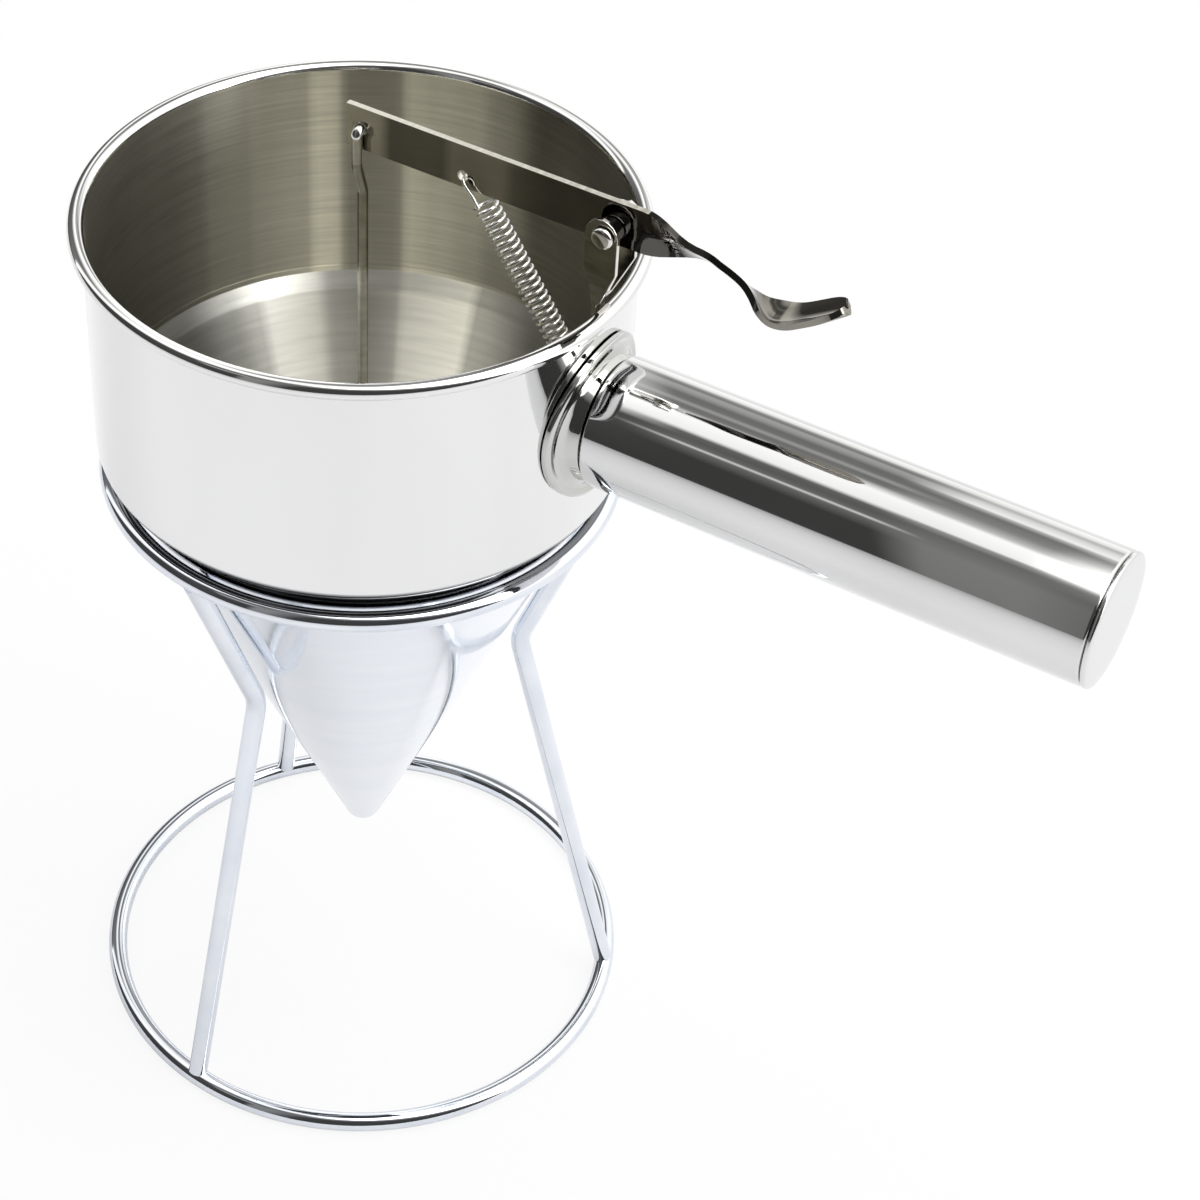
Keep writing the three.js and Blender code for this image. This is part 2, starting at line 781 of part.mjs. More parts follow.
function buildHandle() {
  const handle = new THREE.Group();
  const steel = mirrorSteel();
  handle.add(namedMesh('handle_flange', makeHandleFlange(), steel));
  handle.add(namedMesh('handle_neck', makeHandleNeck(), steel));
  handle.add(namedMesh('handle_tube', makeHandleTube(), steel));
  handle.add(namedMesh('handle_end_cap', makeHandleEndCap(), steel));
  return handle;
}

function buildPivot() {
  const pivot = new THREE.Group();
  const steel = brushedSteel();
  pivot.add(namedMesh('pivot_bracket', makePivotBracket(), steel));
  pivot.add(namedMesh('pivot_pin', makePivotPin(), steel));
  pivot.add(namedMesh('pivot_nut', makePivotNut(), steel));
  pivot.add(namedMesh('pivot_bush_near', makePivotBush(-1), steel));
  pivot.add(namedMesh('pivot_bush_far', makePivotBush(1), steel));
  return pivot;
}

function buildFunnel() {
  const funnel = new THREE.Group();
  const steel = mirrorSteel();
  funnel.add(namedMesh('bowl_wall', makeBowlWall(), steel));
  funnel.add(namedMesh('funnel_cone', makeFunnelCone(), steel));
  funnel.add(buildHandle(), buildPivot());
  funnel.add(namedMesh('return_spring', makeReturnSpring(), springSteel()));
  return funnel;
}

function buildValve() {
  const valve = new THREE.Group();
  const steel = brushedSteel();
  valve.add(namedMesh('lever', makeLever(), stripSteel()));
  valve.add(namedMesh('valve_rod', makeValveRod(), steel));
  valve.add(namedMesh('valve_plug', makeValvePlug(), steel));
  valve.add(namedMesh('valve_lock_nut', makeLockNut(), steel));
  return valve;
}

const group = new THREE.Group();
for (const assembly of [buildStand(), buildFunnel(), buildValve()]) {
  assembly.position.x = funnelX;
  group.add(assembly);
}
export default group;
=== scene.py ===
import json
import math

import bpy
from mathutils import Matrix, Quaternion, Vector

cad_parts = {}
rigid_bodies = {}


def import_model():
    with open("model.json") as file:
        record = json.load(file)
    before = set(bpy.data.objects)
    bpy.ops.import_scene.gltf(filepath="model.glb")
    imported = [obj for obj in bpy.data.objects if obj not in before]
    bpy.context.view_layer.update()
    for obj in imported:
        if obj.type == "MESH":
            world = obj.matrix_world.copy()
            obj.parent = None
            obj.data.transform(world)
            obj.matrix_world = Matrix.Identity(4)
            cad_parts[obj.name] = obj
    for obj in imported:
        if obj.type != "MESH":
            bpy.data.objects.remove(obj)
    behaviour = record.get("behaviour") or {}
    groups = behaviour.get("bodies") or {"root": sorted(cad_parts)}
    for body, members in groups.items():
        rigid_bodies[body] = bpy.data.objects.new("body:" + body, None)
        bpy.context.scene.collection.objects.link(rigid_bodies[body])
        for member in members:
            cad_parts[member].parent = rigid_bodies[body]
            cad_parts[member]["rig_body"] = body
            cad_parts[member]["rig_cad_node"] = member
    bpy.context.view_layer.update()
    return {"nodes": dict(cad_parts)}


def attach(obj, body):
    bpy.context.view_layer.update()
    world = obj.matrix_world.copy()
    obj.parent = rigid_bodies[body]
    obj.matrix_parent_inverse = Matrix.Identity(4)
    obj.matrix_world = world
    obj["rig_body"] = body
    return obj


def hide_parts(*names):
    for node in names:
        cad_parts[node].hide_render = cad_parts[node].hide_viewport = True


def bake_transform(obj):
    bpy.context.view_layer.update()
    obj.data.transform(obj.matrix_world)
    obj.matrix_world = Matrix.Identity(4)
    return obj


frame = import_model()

MM = 0.001
NODES = frame["nodes"]

# Facets round a turned piece
BOWL_FACETS = 160
TUBE_FACETS = 128
NECK_FACETS = 96
PLUG_FACETS = 64

# Sizes in millimetres. Reach is measured from the funnel's axis along the handle, and a span is two reaches.
# Bowl and cone
FUNNEL_X = -61.65
SHEET = 0.7
WALL = 65.7
INNER_WALL = WALL - SHEET
RIM_TOP = 252.0
BEAD = 2.0
SHOULDER_TOP = 191.0
CONE_TOP = 185.6
CONE_TOP_RADIUS = 62.6
CONE_MIDDLE = 140
CONE_LOW = 95
TIP_Z = 52.6
TIP_RADIUS = 4.05
TIP_LIP = 0.8
TIP_ROUND = 0.35
CONE_SLOPE = (CONE_TOP_RADIUS - TIP_RADIUS) / (CONE_TOP - TIP_Z)
CONE_SKIN = SHEET * math.hypot(1, CONE_SLOPE)

# Stand
WIRE = 2.56
RING_FLAT_DEGREES = 12
BASE_RING = 70.4
TOP_RING_Z = 179.0
TOP_RING = TIP_RADIUS + CONE_SLOPE * (TOP_RING_Z - TIP_Z) + 3.0 * math.hypot(1, CONE_SLOPE)
KNEE_Z = 124.0
KNEE_BEND = 12
KNEE_REACH = TIP_RADIUS + CONE_SLOPE * (KNEE_Z - TIP_Z) + 5.9
LEG_ANGLES = (23.3, 143.3, 263.3)

# Handle
HANDLE_Z = 220.3
HANDLE_RADIUS = 16.15
HANDLE_BORE = HANDLE_RADIUS - 0.8
HANDLE_ROOT = 70.1
HANDLE_END = 196.4
CAP_SKIRT = 10
BRIM = HANDLE_RADIUS + 4.35
FLANGE_BACK = WALL + 0.3
FLANGE_SKIN = WALL + 1.3
COLLAR = 2.2

# Lever
PIVOT_REACH = 67.0
PIVOT_Z = 273.5
PIVOT_BORE = 1.8
LEVER_Z = 275.0
LEVER_HEIGHT = 11.0
LEVER_THICKNESS = 1.5
LEVER_BACK = -4
LEVER_STRAIGHT = 74
DRAWN_FROM = 80
DRAWN_LENGTH = 44.5
DRAWN_DEPTH = 8.3
LEANING_DEGREES = 48
LEANING_SPAN = (74, 89)
FLATTENING_DEGREES = 42
FLATTENING_SPAN = (99, 109)
LEVER_WAIST = 8
WAIST_SPAN = (74, 94)
THUMB_WIDTH = 10
THUMB_SPAN = (102, 114)
THUMB_ROUND_FROM = 118.3
THUMB_ROUND = 6.2
THUMB_DISH = 1.2
DISH_SPAN = (100, 108)

# Valve and spring
ROD = 1.35
ROD_OFFSET = 2.5
ROD_FOOT = 62.3
JOG_LOW = 258
JOG_TOP = 266
ROD_CLEARANCE = 0.3
ROD_PLAY = 0.65
PLUG_Z = 59.53
PLUG_RADIUS = 5.45
SPRING_HOLE = (27.6, 272.5)
HOOK_BORE = 1.4
LUG_HOLE = (60.667, 230.9)
SPRING_SEAT = 0.5
SPRING_HOOK = 2.0
SPRING_LEAD = 7.4
SPRING_LEAN = 0.9
SPRING_WIRE = 0.44
COIL_RADIUS = 2.7
COIL_TURNS = 22

# Studio, in metres
BRIGHTEST = 5.0
LIT_PLACE = (0, 0, 0.1)
FLOOR_SIZE = 6
DOME_RADIUS = 2.9


def deselect():
    if bpy.context.object and bpy.context.object.mode != "OBJECT":
        bpy.ops.object.mode_set(mode="OBJECT")
    bpy.ops.object.select_all(action="DESELECT")


deselect()


def spot(reach, across, z):
    """A place on the funnel's axis system, in metres in the part's frame."""
    return Vector(((reach + FUNNEL_X) * MM, across * MM, z * MM))


def arc(centre_x, centre_z, radius, from_deg, to_deg, steps):
    out = []
    for i in range(steps + 1):
        a = math.radians(from_deg + (to_deg - from_deg) * i / steps)
        out.append((centre_x + radius * math.cos(a), centre_z + radius * math.sin(a)))
    return out


def rounded(points, radii, steps=4):
    """An outline with each inner corner rounded by its own radius."""
    out = [points[0]]
    for before, corner, after, radius in zip(points, points[1:], points[2:], radii):
        c = Vector(corner)
        a = (Vector(before) - c).normalized()
        b = (Vector(after) - c).normalized()
        if radius <= 0:
            out.append(corner)
            continue
        half = a.angle(b) / 2
        back = radius / math.tan(half)
        centre = c + (a + b).normalized() * (radius / math.sin(half))
        start, end = c + a * back - centre, c + b * back - centre
        sweep = start.angle_signed(end)
        for i in range(steps + 1):
            turn = -sweep * i / steps
            spun = Vector((start.x * math.cos(turn) - start.y * math.sin(turn),
                           start.x * math.sin(turn) + start.y * math.cos(turn)))
            out.append(tuple(centre + spun))
    out.append(points[-1])
    return out


def settle(piece):
    """Puts the piece's place into its mesh."""
    deselect()
    piece.select_set(True)
    bpy.context.view_layer.objects.active = piece
    bpy.ops.object.transform_apply(location=True, rotation=True, scale=True)


def edit(piece, select="SELECT"):
    deselect()
    piece.select_set(True)
    bpy.context.view_layer.objects.active = piece
    bpy.ops.object.mode_set(mode="EDIT")
    bpy.ops.mesh.select_all(action=select)


def close_up(piece, angle=32):
    """Merges doubles, turns the faces outwards and smooths all but the sharp edges."""
    edit(piece)
    bpy.ops.mesh.remove_doubles(threshold=1e-6)
    bpy.ops.mesh.normals_make_consistent(inside=False)
    bpy.ops.object.mode_set(mode="OBJECT")
    bpy.ops.object.shade_smooth_by_angle(angle=math.radians(angle))


def turned(name, outline, steps, along_handle=False):
    """A piece turned on a lathe: the outline is extruded point by point and spun round its axis."""
    if along_handle:
        places = [spot(x, 0, HANDLE_Z + r) for r, x in outline]
        centre, axis = spot(0, 0, HANDLE_Z), (1, 0, 0)
    else:
        places = [spot(r, 0, z) for r, z in outline]
        centre, axis = spot(0, 0, 0), (0, 0, 1)
    deselect()
    bpy.ops.mesh.primitive_plane_add(size=MM, location=(0, 0, 0))
    piece = bpy.context.object
    piece.name = name
    edit(piece)
    bpy.ops.mesh.merge(type="CENTER")
    bpy.ops.transform.translate(value=places[0])
    for here, there in zip(places, places[1:]):
        bpy.ops.mesh.extrude_region_move(TRANSFORM_OT_translate={"value": there - here})
    bpy.ops.mesh.select_all(action="SELECT")
    bpy.ops.mesh.spin(steps=steps, angle=2 * math.pi, center=centre, axis=axis)
    close_up(piece)
    return piece


def wire(name, corners, bends, radius, sides, steps):
    """A round wire: a circle extruded along each straight and spun round each bend."""
    first = (corners[1] - corners[0]).normalized()
    deselect()
    bpy.ops.mesh.primitive_circle_add(
        vertices=sides, radius=radius * MM, fill_type="NOTHING", location=corners[0],
        rotation=first.to_track_quat("Z", "Y").to_euler())
    piece = bpy.context.object
    piece.name = name
    settle(piece)
    edit(piece)
    here = corners[0]
    for before, corner, after, bend in zip(corners, corners[1:], corners[2:], bends):
        entry = (corner - before).normalized()
        leave = (after - corner).normalized()
        turn = entry.angle(leave)
        back = bend * MM * math.tan(turn / 2)
        start = corner - entry * back
        bpy.ops.mesh.extrude_region_move(TRANSFORM_OT_translate={"value": start - here})
        axis = entry.cross(leave).normalized()
        middle = start + axis.cross(entry) * bend * MM
        bpy.ops.mesh.spin(steps=steps, angle=-turn, center=middle, axis=axis)
        here = corner + leave * back
    bpy.ops.mesh.extrude_region_move(TRANSFORM_OT_translate={"value": corners[-1] - here})
    bpy.ops.mesh.select_all(action="DESELECT")
    bpy.ops.mesh.select_non_manifold()
    bpy.ops.mesh.fill_holes(sides=0)
    close_up(piece)
    return piece


def cut_away(piece, cutter):
    """Cuts one shape out of a piece and removes the cutter."""
    deselect()
    bpy.context.view_layer.objects.active = piece
    cut = piece.modifiers.new("cut", "BOOLEAN")
    cut.operation = "DIFFERENCE"
    cut.solver = "EXACT"
    cut.object = cutter
    bpy.ops.object.modifier_apply(modifier=cut.name)
    bpy.data.objects.remove(cutter)


def cross_bore(reach, z, radius):
    """A cutter for a hole straight across the lever."""
    deselect()
    bpy.ops.mesh.primitive_cylinder_add(
        vertices=32, radius=radius * MM, depth=30 * MM, location=spot(reach, 0, z),
        rotation=(math.pi / 2, 0, 0))
    settle(bpy.context.object)
    return bpy.context.object


def soften(piece, width, segments=2, angle=30, smooth=40):
    """Breaks the sharp edges with a small bevel."""
    deselect()
    bpy.context.view_layer.objects.active = piece
    edge = piece.modifiers.new("edge", "BEVEL")
    edge.width = width * MM
    edge.segments = segments
    edge.limit_method = "ANGLE"
    edge.angle_limit = math.radians(angle)
    bpy.ops.object.modifier_apply(modifier=edge.name)
    piece.select_set(True)
    bpy.ops.object.shade_smooth_by_angle(angle=math.radians(smooth))


def finished_copy(node, name, width):
    """A copy of a small fitting, its loose faces merged and its edges broken."""
    deselect()
    source = NODES[node]
    source.select_set(True)
    bpy.context.view_layer.objects.active = source
    bpy.ops.object.duplicate()
    piece = bpy.context.object
    piece.name = name
    piece.parent = None
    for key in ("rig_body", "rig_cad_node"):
        if key in piece:
            del piece[key]
    edit(piece)
    bpy.ops.mesh.remove_doubles(threshold=1e-6)
    bpy.ops.mesh.dissolve_limited(angle_limit=math.radians(1))
    bpy.ops.object.mode_set(mode="OBJECT")
    soften(piece, width, smooth=22)
    return piece


# Finishes
def base_finish(name, colour, roughness):
    material = bpy.data.materials.new(name)
    material.use_nodes = True
    tree = material.node_tree
    shader = tree.nodes["Principled BSDF"]
    shader.inputs["Base Color"].default_value = (*colour, 1)
    shader.inputs["Metallic"].default_value = 1
    shader.inputs["Roughness"].default_value = roughness
    return material, tree, shader


def grain(tree, scale, detail, stretch=(1, 1, 1)):
    """A noise on object coordinates, stretched along the axes."""
    place = tree.nodes.new("ShaderNodeTexCoord")
    mapping = tree.nodes.new("ShaderNodeMapping")
    mapping.vector_type = "TEXTURE"
    mapping.inputs["Scale"].default_value = stretch
    noise = tree.nodes.new("ShaderNodeTexNoise")
    noise.inputs["Scale"].default_value = scale
    noise.inputs["Detail"].default_value = detail
    tree.links.new(place.outputs["Object"], mapping.inputs["Vector"])
    tree.links.new(mapping.outputs["Vector"], noise.inputs["Vector"])
    return noise


def ramp(tree, source, low, high, from_min=0.3, from_max=0.7):
    spread = tree.nodes.new("ShaderNodeMapRange")
    spread.inputs["From Min"].default_value = from_min
    spread.inputs["From Max"].default_value = from_max
    spread.inputs["To Min"].default_value = low
    spread.inputs["To Max"].default_value = high
    tree.links.new(source, spread.inputs["Value"])
    return spread.outputs["Result"]


def shade(tree, shader, source, light, dark, from_min=0.3, from_max=0.7):
    """Varies the colour between two close tones."""
    mix = tree.nodes.new("ShaderNodeMix")
    mix.data_type = "RGBA"
    mix.inputs[6].default_value = (*dark, 1)
    mix.inputs[7].default_value = (*light, 1)
    tree.links.new(ramp(tree, source, 0, 1, from_min, from_max), mix.inputs[0])
    tree.links.new(mix.outputs[2], shader.inputs["Base Color"])


def math_node(tree, operation, value=0.0, source=None):
    node = tree.nodes.new("ShaderNodeMath")
    node.operation = operation
    node.inputs[1].default_value = value
    if source:
        tree.links.new(source, node.inputs[0])
    return node


def seam_shade(tree, shader, low, high):
    """Paints the steel dark in the narrow seam between two heights: painted shade in the crease."""
    polished = shader.inputs["Base Color"].links[0].from_socket
    place = tree.nodes.new("ShaderNodeTexCoord")
    parts = tree.nodes.new("ShaderNodeSeparateXYZ")
    tree.links.new(place.outputs["Object"], parts.inputs["Vector"])
    above = ramp(tree, parts.outputs["Z"], 0, 1, (low - 0.4) * MM, (low + 0.4) * MM)
    below = ramp(tree, parts.outputs["Z"], 1, 0, (high - 0.4) * MM, (high + 0.4) * MM)
    inside = math_node(tree, "MULTIPLY", 1, above)
    tree.links.new(below, inside.inputs[1])
    mix = tree.nodes.new("ShaderNodeMix")
    mix.data_type = "RGBA"
    # Painted shade: the seam's dark grey.
    mix.inputs[7].default_value = (0.2, 0.2, 0.2, 1)
    tree.links.new(inside.outputs["Value"], mix.inputs[0])
    tree.links.new(polished, mix.inputs[6])
    tree.links.new(mix.outputs[2], shader.inputs["Base Color"])


def relief(tree, shader, source, strength, distance):
    bump = tree.nodes.new("ShaderNodeBump")
    bump.inputs["Strength"].default_value = strength
    bump.inputs["Distance"].default_value = distance
    tree.links.new(source, bump.inputs["Height"])
    tree.links.new(bump.outputs["Normal"], shader.inputs["Normal"])


def polished_sheet(name, tone, seam=None, warmth=0.0):
    """Mirror polish with a faint haze and slow waves left by the spinning."""
    bright = (tone * 1.04, tone * 1.04, tone * (1.04 - warmth))
    dull = (tone * 0.92, tone * 0.92, tone * (0.915 - warmth))
    material, tree, shader = base_finish(name, bright, 0.05)
    haze = grain(tree, 14, 3, (1, 1, 4))
    shade(tree, shader, haze.outputs["Fac"], bright, dull)
    tree.links.new(ramp(tree, haze.outputs["Fac"], 0.03, 0.07), shader.inputs["Roughness"])
    waves = grain(tree, 9, 2, (1, 1, 2.5))
    relief(tree, shader, waves.outputs["Fac"], 0.12, 0.0006)
    # A seam, when given, gets painted shade between its two heights.
    if seam:
        seam_shade(tree, shader, *seam)
    return material


def turned_inside(name, line_height, tint, bands):
    """Warm steel brushed round the axis, with painted reflections as lighter and darker bands by the angle
    in degrees.
    """
    material, tree, shader = base_finish(name, (0.8, 0.78, 0.7), 0.34)
    shader.inputs["Anisotropic"].default_value = 0.9
    shader.inputs["Anisotropic Rotation"].default_value = 0.25
    around = tree.nodes.new("ShaderNodeTangent")
    around.direction_type = "RADIAL"
    around.axis = "Z"
    tree.links.new(around.outputs["Tangent"], shader.inputs["Tangent"])
    place = tree.nodes.new("ShaderNodeTexCoord")
    centred = tree.nodes.new("ShaderNodeMapping")
    centred.inputs["Location"].default_value = (-FUNNEL_X * MM, 0, 0)
    parts = tree.nodes.new("ShaderNodeSeparateXYZ")
    angle = math_node(tree, "ARCTAN2")
    tree.links.new(place.outputs["Object"], centred.inputs["Vector"])
    tree.links.new(centred.outputs["Vector"], parts.inputs["Vector"])
    tree.links.new(parts.outputs["Y"], angle.inputs[0])
    tree.links.new(parts.outputs["X"], angle.inputs[1])
    # The bands are painted reflections, set by angle round the axis.
    reflection_band = tree.nodes.new("ShaderNodeValToRGB")
    reflection_band.color_ramp.interpolation = "EASE"
    points = reflection_band.color_ramp.elements
    while len(points) < len(bands):
        points.new(0.5)
    for point, (degrees, level) in zip(points, bands):
        point.position = degrees / 360 + 0.5
        point.color = (level, level * tint[0], level * tint[1], 1)
    tree.links.new(ramp(tree, angle.outputs["Value"], 0, 1, -math.pi, math.pi), reflection_band.inputs["Fac"])
    lines = grain(tree, 34, 5, (1, 1, line_height))
    lined = tree.nodes.new("ShaderNodeMix")
    lined.data_type = "RGBA"
    lined.blend_type = "MULTIPLY"
    lined.inputs[0].default_value = 1
    streak = tree.nodes.new("ShaderNodeCombineXYZ")
    tone = ramp(tree, lines.outputs["Fac"], 0.82, 1)
    for socket in streak.inputs:
        tree.links.new(tone, socket)
    tree.links.new(reflection_band.outputs["Color"], lined.inputs[6])
    tree.links.new(streak.outputs["Vector"], lined.inputs[7])
    tree.links.new(lined.outputs[2], shader.inputs["Base Color"])
    wear = grain(tree, 14, 3)
    tree.links.new(ramp(tree, wear.outputs["Fac"], 0.28, 0.4), shader.inputs["Roughness"])
    relief(tree, shader, lines.outputs["Fac"], 0.3, 0.0002)
    return material


def cone_outside():
    """The cone's outside: bright polish with a cool tone and faint turning lines."""
    material, tree, shader = base_finish("polished_cone", (0.87, 0.9, 0.945), 0.06)
    lines = grain(tree, 22, 3, (1, 1, 0.12))
    shade(tree, shader, lines.outputs["Fac"], (0.89, 0.915, 0.955), (0.85, 0.88, 0.93))
    tree.links.new(ramp(tree, lines.outputs["Fac"], 0.05, 0.09), shader.inputs["Roughness"])
    waves = grain(tree, 9, 2, (1, 1, 3))
    relief(tree, shader, waves.outputs["Fac"], 0.1, 0.0004)
    # Painted shade on the cone between the top ring and the shoulder.
    seam_shade(tree, shader, TOP_RING_Z + 2, CONE_TOP + 2)
    return material


def drawn_metal(name, light, dark, roughness, scale, detail, stretch, bump):
    """Plain drawn, pressed or plated metal: two close tones, scuffs and a relief from one grain."""
    material, tree, shader = base_finish(name, light, roughness[0])
    scuffs = grain(tree, scale, detail, stretch)
    shade(tree, shader, scuffs.outputs["Fac"], light, dark)
    tree.links.new(ramp(tree, scuffs.outputs["Fac"], *roughness), shader.inputs["Roughness"])
    relief(tree, shader, scuffs.outputs["Fac"], *bump)
    return material


def lever_strip():
    """Cold rolled strip, polished along its length, in a warm grey, with painted reflections: darker and
    lighter lengths along it.
    """
    material, tree, shader = base_finish("lever_strip", (0.3, 0.29, 0.25), 0.05)
    rolling = grain(tree, 90, 5, (6, 1, 0.5))
    place = tree.nodes.new("ShaderNodeTexCoord")
    parts = tree.nodes.new("ShaderNodeSeparateXYZ")
    tree.links.new(place.outputs["Object"], parts.inputs["Vector"])
    # Painted reflections: the strip's tone along its length.
    painted_reflections = tree.nodes.new("ShaderNodeValToRGB")
    points = painted_reflections.color_ramp.elements
    tones = ((-5, 0.45), (5, 0.42), (8, 0.15), (22, 0.14), (25, 0.28), (38, 0.26), (41, 0.17),
             (64, 0.16), (69, 0.1), (84, 0.09), (90, 0.1), (101, 0.14), (106, 0.24), (124, 0.28))
    while len(points) < len(tones):
        points.new(0.5)
    near, far = -5, 125
    for point, (reach, tone) in zip(points, tones):
        point.position = (reach - near) / (far - near)
        point.color = (tone, tone * 0.95, tone * 0.84, 1)
    along = ramp(tree, parts.outputs["X"], 0, 1, (FUNNEL_X + near) * MM, (FUNNEL_X + far) * MM)
    tree.links.new(along, painted_reflections.inputs["Fac"])
    tree.links.new(painted_reflections.outputs["Color"], shader.inputs["Base Color"])
    tree.links.new(ramp(tree, rolling.outputs["Fac"], 0.04, 0.08), shader.inputs["Roughness"])
    relief(tree, shader, rolling.outputs["Fac"], 0.08, 0.0001)
    return material


# How a grain is stretched: the same all ways, or short along the upright
EVEN, UPRIGHT = (1, 1, 1), (1, 1, 0.2)

# The bowl's shoulder seam gets painted shade.
POLISHED = polished_sheet("polished_bowl", 0.84, (CONE_TOP - 2, SHOULDER_TOP - 1.5))
HANDLE_SHEET = polished_sheet("polished_handle", 0.73)
# Painted reflection: the flange's darker, warm tone stands for the bowl mirrored in it.
FLANGE_SHEET = polished_sheet("polished_flange", 0.6, warmth=0.03)
# Painted shade: the neck's steel is dark and warm for the groove it sits in.
NECK_SHADE_SHEET = polished_sheet("neck_painted_shade", 0.27, warmth=0.05)
# Brushed inside wall; its tones by angle are painted reflections.
BRUSHED_WALL_REFLECTIONS = turned_inside("brushed_wall_painted_reflections", 0.03, (0.965, 0.82), (
    (-180, 0.27), (-150, 0.22), (-125, 0.95), (5, 0.95), (30, 0.32), (60, 0.25), (80, 0.34),
    (88, 0.52), (93, 0.48), (98, 0.64), (107, 0.82), (111, 0.95), (113, 1), (116, 0.5),
    (127, 0.42), (130, 0.98), (134, 1), (137, 0.6), (148, 0.5), (151, 0.42), (160, 0.4),
    (163, 0.33), (174, 0.29), (180, 0.27)))
# Brushed inside of the cone; its tones by angle are painted reflections.
BRUSHED_CONE_REFLECTIONS = turned_inside("brushed_cone_painted_reflections", 0.06, (0.99, 0.94), (
    (-180, 0.34), (-140, 0.8), (-60, 0.9), (20, 0.8), (50, 0.5), (75, 0.42), (85, 0.48),
    (94, 0.52), (97, 1), (113, 1), (116, 0.62), (124, 0.52), (131, 0.56), (136, 0.95),
    (147, 0.98), (151, 0.6), (158, 0.4), (170, 0.3), (180, 0.34)))
CONE = cone_outside()
CHROME = drawn_metal("bright_chrome", (0.83, 0.855, 0.9), (0.73, 0.765, 0.83),
                     (0.02, 0.06), 60, 4, EVEN, (0.1, 0.0002))
SATIN = drawn_metal("satin_fitting", (0.8, 0.79, 0.76), (0.7, 0.69, 0.66),
                    (0.07, 0.15), 120, 5, UPRIGHT, (0.12, 0.0001))
# A dark warm tone for the fittings' side faces: a painted reflection.
PRESSED_DARK_REFLECTION = drawn_metal("pressed_bracket_painted_reflection", (0.34, 0.33, 0.28), (0.24, 0.23, 0.19),
                      (0.1, 0.2), 120, 5, UPRIGHT, (0.12, 0.0001))
# Darker, warmer rod steel: a painted reflection of the brushed wall round the rod.
ROD_STEEL = drawn_metal("valve_rod", (0.56, 0.54, 0.48), (0.44, 0.42, 0.37),
                        (0.08, 0.16), 120, 5, UPRIGHT, (0.1, 0.0001))
EDGE = drawn_metal("sheared_edge", (0.92, 0.89, 0.8), (0.74, 0.71, 0.62),
                   (0.26, 0.42), 150, 5, (0.2, 1, 1), (0.1, 0.0001))
SPRING = drawn_metal("spring_wire", (0.86, 0.85, 0.82), (0.72, 0.71, 0.68),
                     (0.1, 0.2), 200, 4, EVEN, (0.08, 0.0001))
STRIP = lever_strip()


def fit(piece, material, body, slot, *nodes):
    """Gives a finished piece its material and its place in the assembly."""
    if not piece.data.materials or piece.data.materials[0] != material:
        piece.data.materials.clear()
        piece.data.materials.append(material)
    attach(piece, body)
    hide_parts(*nodes)


def second_finish(piece, material, has_it):
    """Gives some of the faces one more material."""
    piece.data.materials.append(material)
    for face in piece.data.polygons:
        if has_it(face):
            face.material_index = len(piece.data.materials) - 1


def inner_face(face, steepness):
    """The radius and height of a face that looks at the funnel's axis, in millimetres."""
    reach = Vector((face.center.x - FUNNEL_X * MM, face.center.y))
    inward = -Vector((face.normal.x, face.normal.y)).dot(reach.normalized())
    return (reach.length / MM, face.center.z / MM) if inward > steepness else None


# Stand: two rings and three bent legs
def stand_ring(name, reach, z):
    """A wire ring with a narrow flat under it, where it bears on what is below."""
    deselect()
    bpy.ops.mesh.primitive_torus_add(
        major_segments=BOWL_FACETS, minor_segments=24, major_radius=reach * MM,
        minor_radius=WIRE * MM, location=spot(0, 0, z))
    piece = bpy.context.object
    piece.name = name
    settle(piece)
    edit(piece)
    low = (z - WIRE * math.cos(math.radians(RING_FLAT_DEGREES))) * MM
    bpy.ops.mesh.bisect(plane_co=(0, 0, low), plane_no=(0, 0, 1), clear_inner=True, use_fill=False)
    bpy.ops.mesh.select_all(action="DESELECT")
    bpy.ops.mesh.select_non_manifold()
    bpy.ops.mesh.bridge_edge_loops()
    close_up(piece, 50)
    return piece


def stand_leg(angle):
    """One wire from inside the top ring, round its knee, to inside the base ring."""
    a = math.radians(angle)

    def at(reach, z):
        return spot(reach * math.cos(a), reach * math.sin(a), z)

    top = at(TOP_RING, TOP_RING_Z)
    knee = at(KNEE_REACH, KNEE_Z)
    foot = at(BASE_RING, WIRE)
    start = top + (knee - top).normalized() * 2.2 * MM
    end = foot + (knee - foot).normalized() * 1.9 * MM
    return wire("leg", [start, knee, end], [KNEE_BEND], WIRE, 24, 10)


def build_stand():
    top, base = stand_ring("top_ring", TOP_RING, TOP_RING_Z), stand_ring("base_ring", BASE_RING, WIRE)
    fit(top, CHROME, "stand", "chrome_wire", "stand_top_ring")
    fit(base, CHROME, "stand", "chrome_wire", "stand_base_ring")
    for i, angle in enumerate(LEG_ANGLES):
        leg = stand_leg(angle)
        leg.name = f"bent_leg_{i + 1}"
        fit(leg, CHROME, "stand", "chrome_wire", f"stand_leg_{i + 1}")


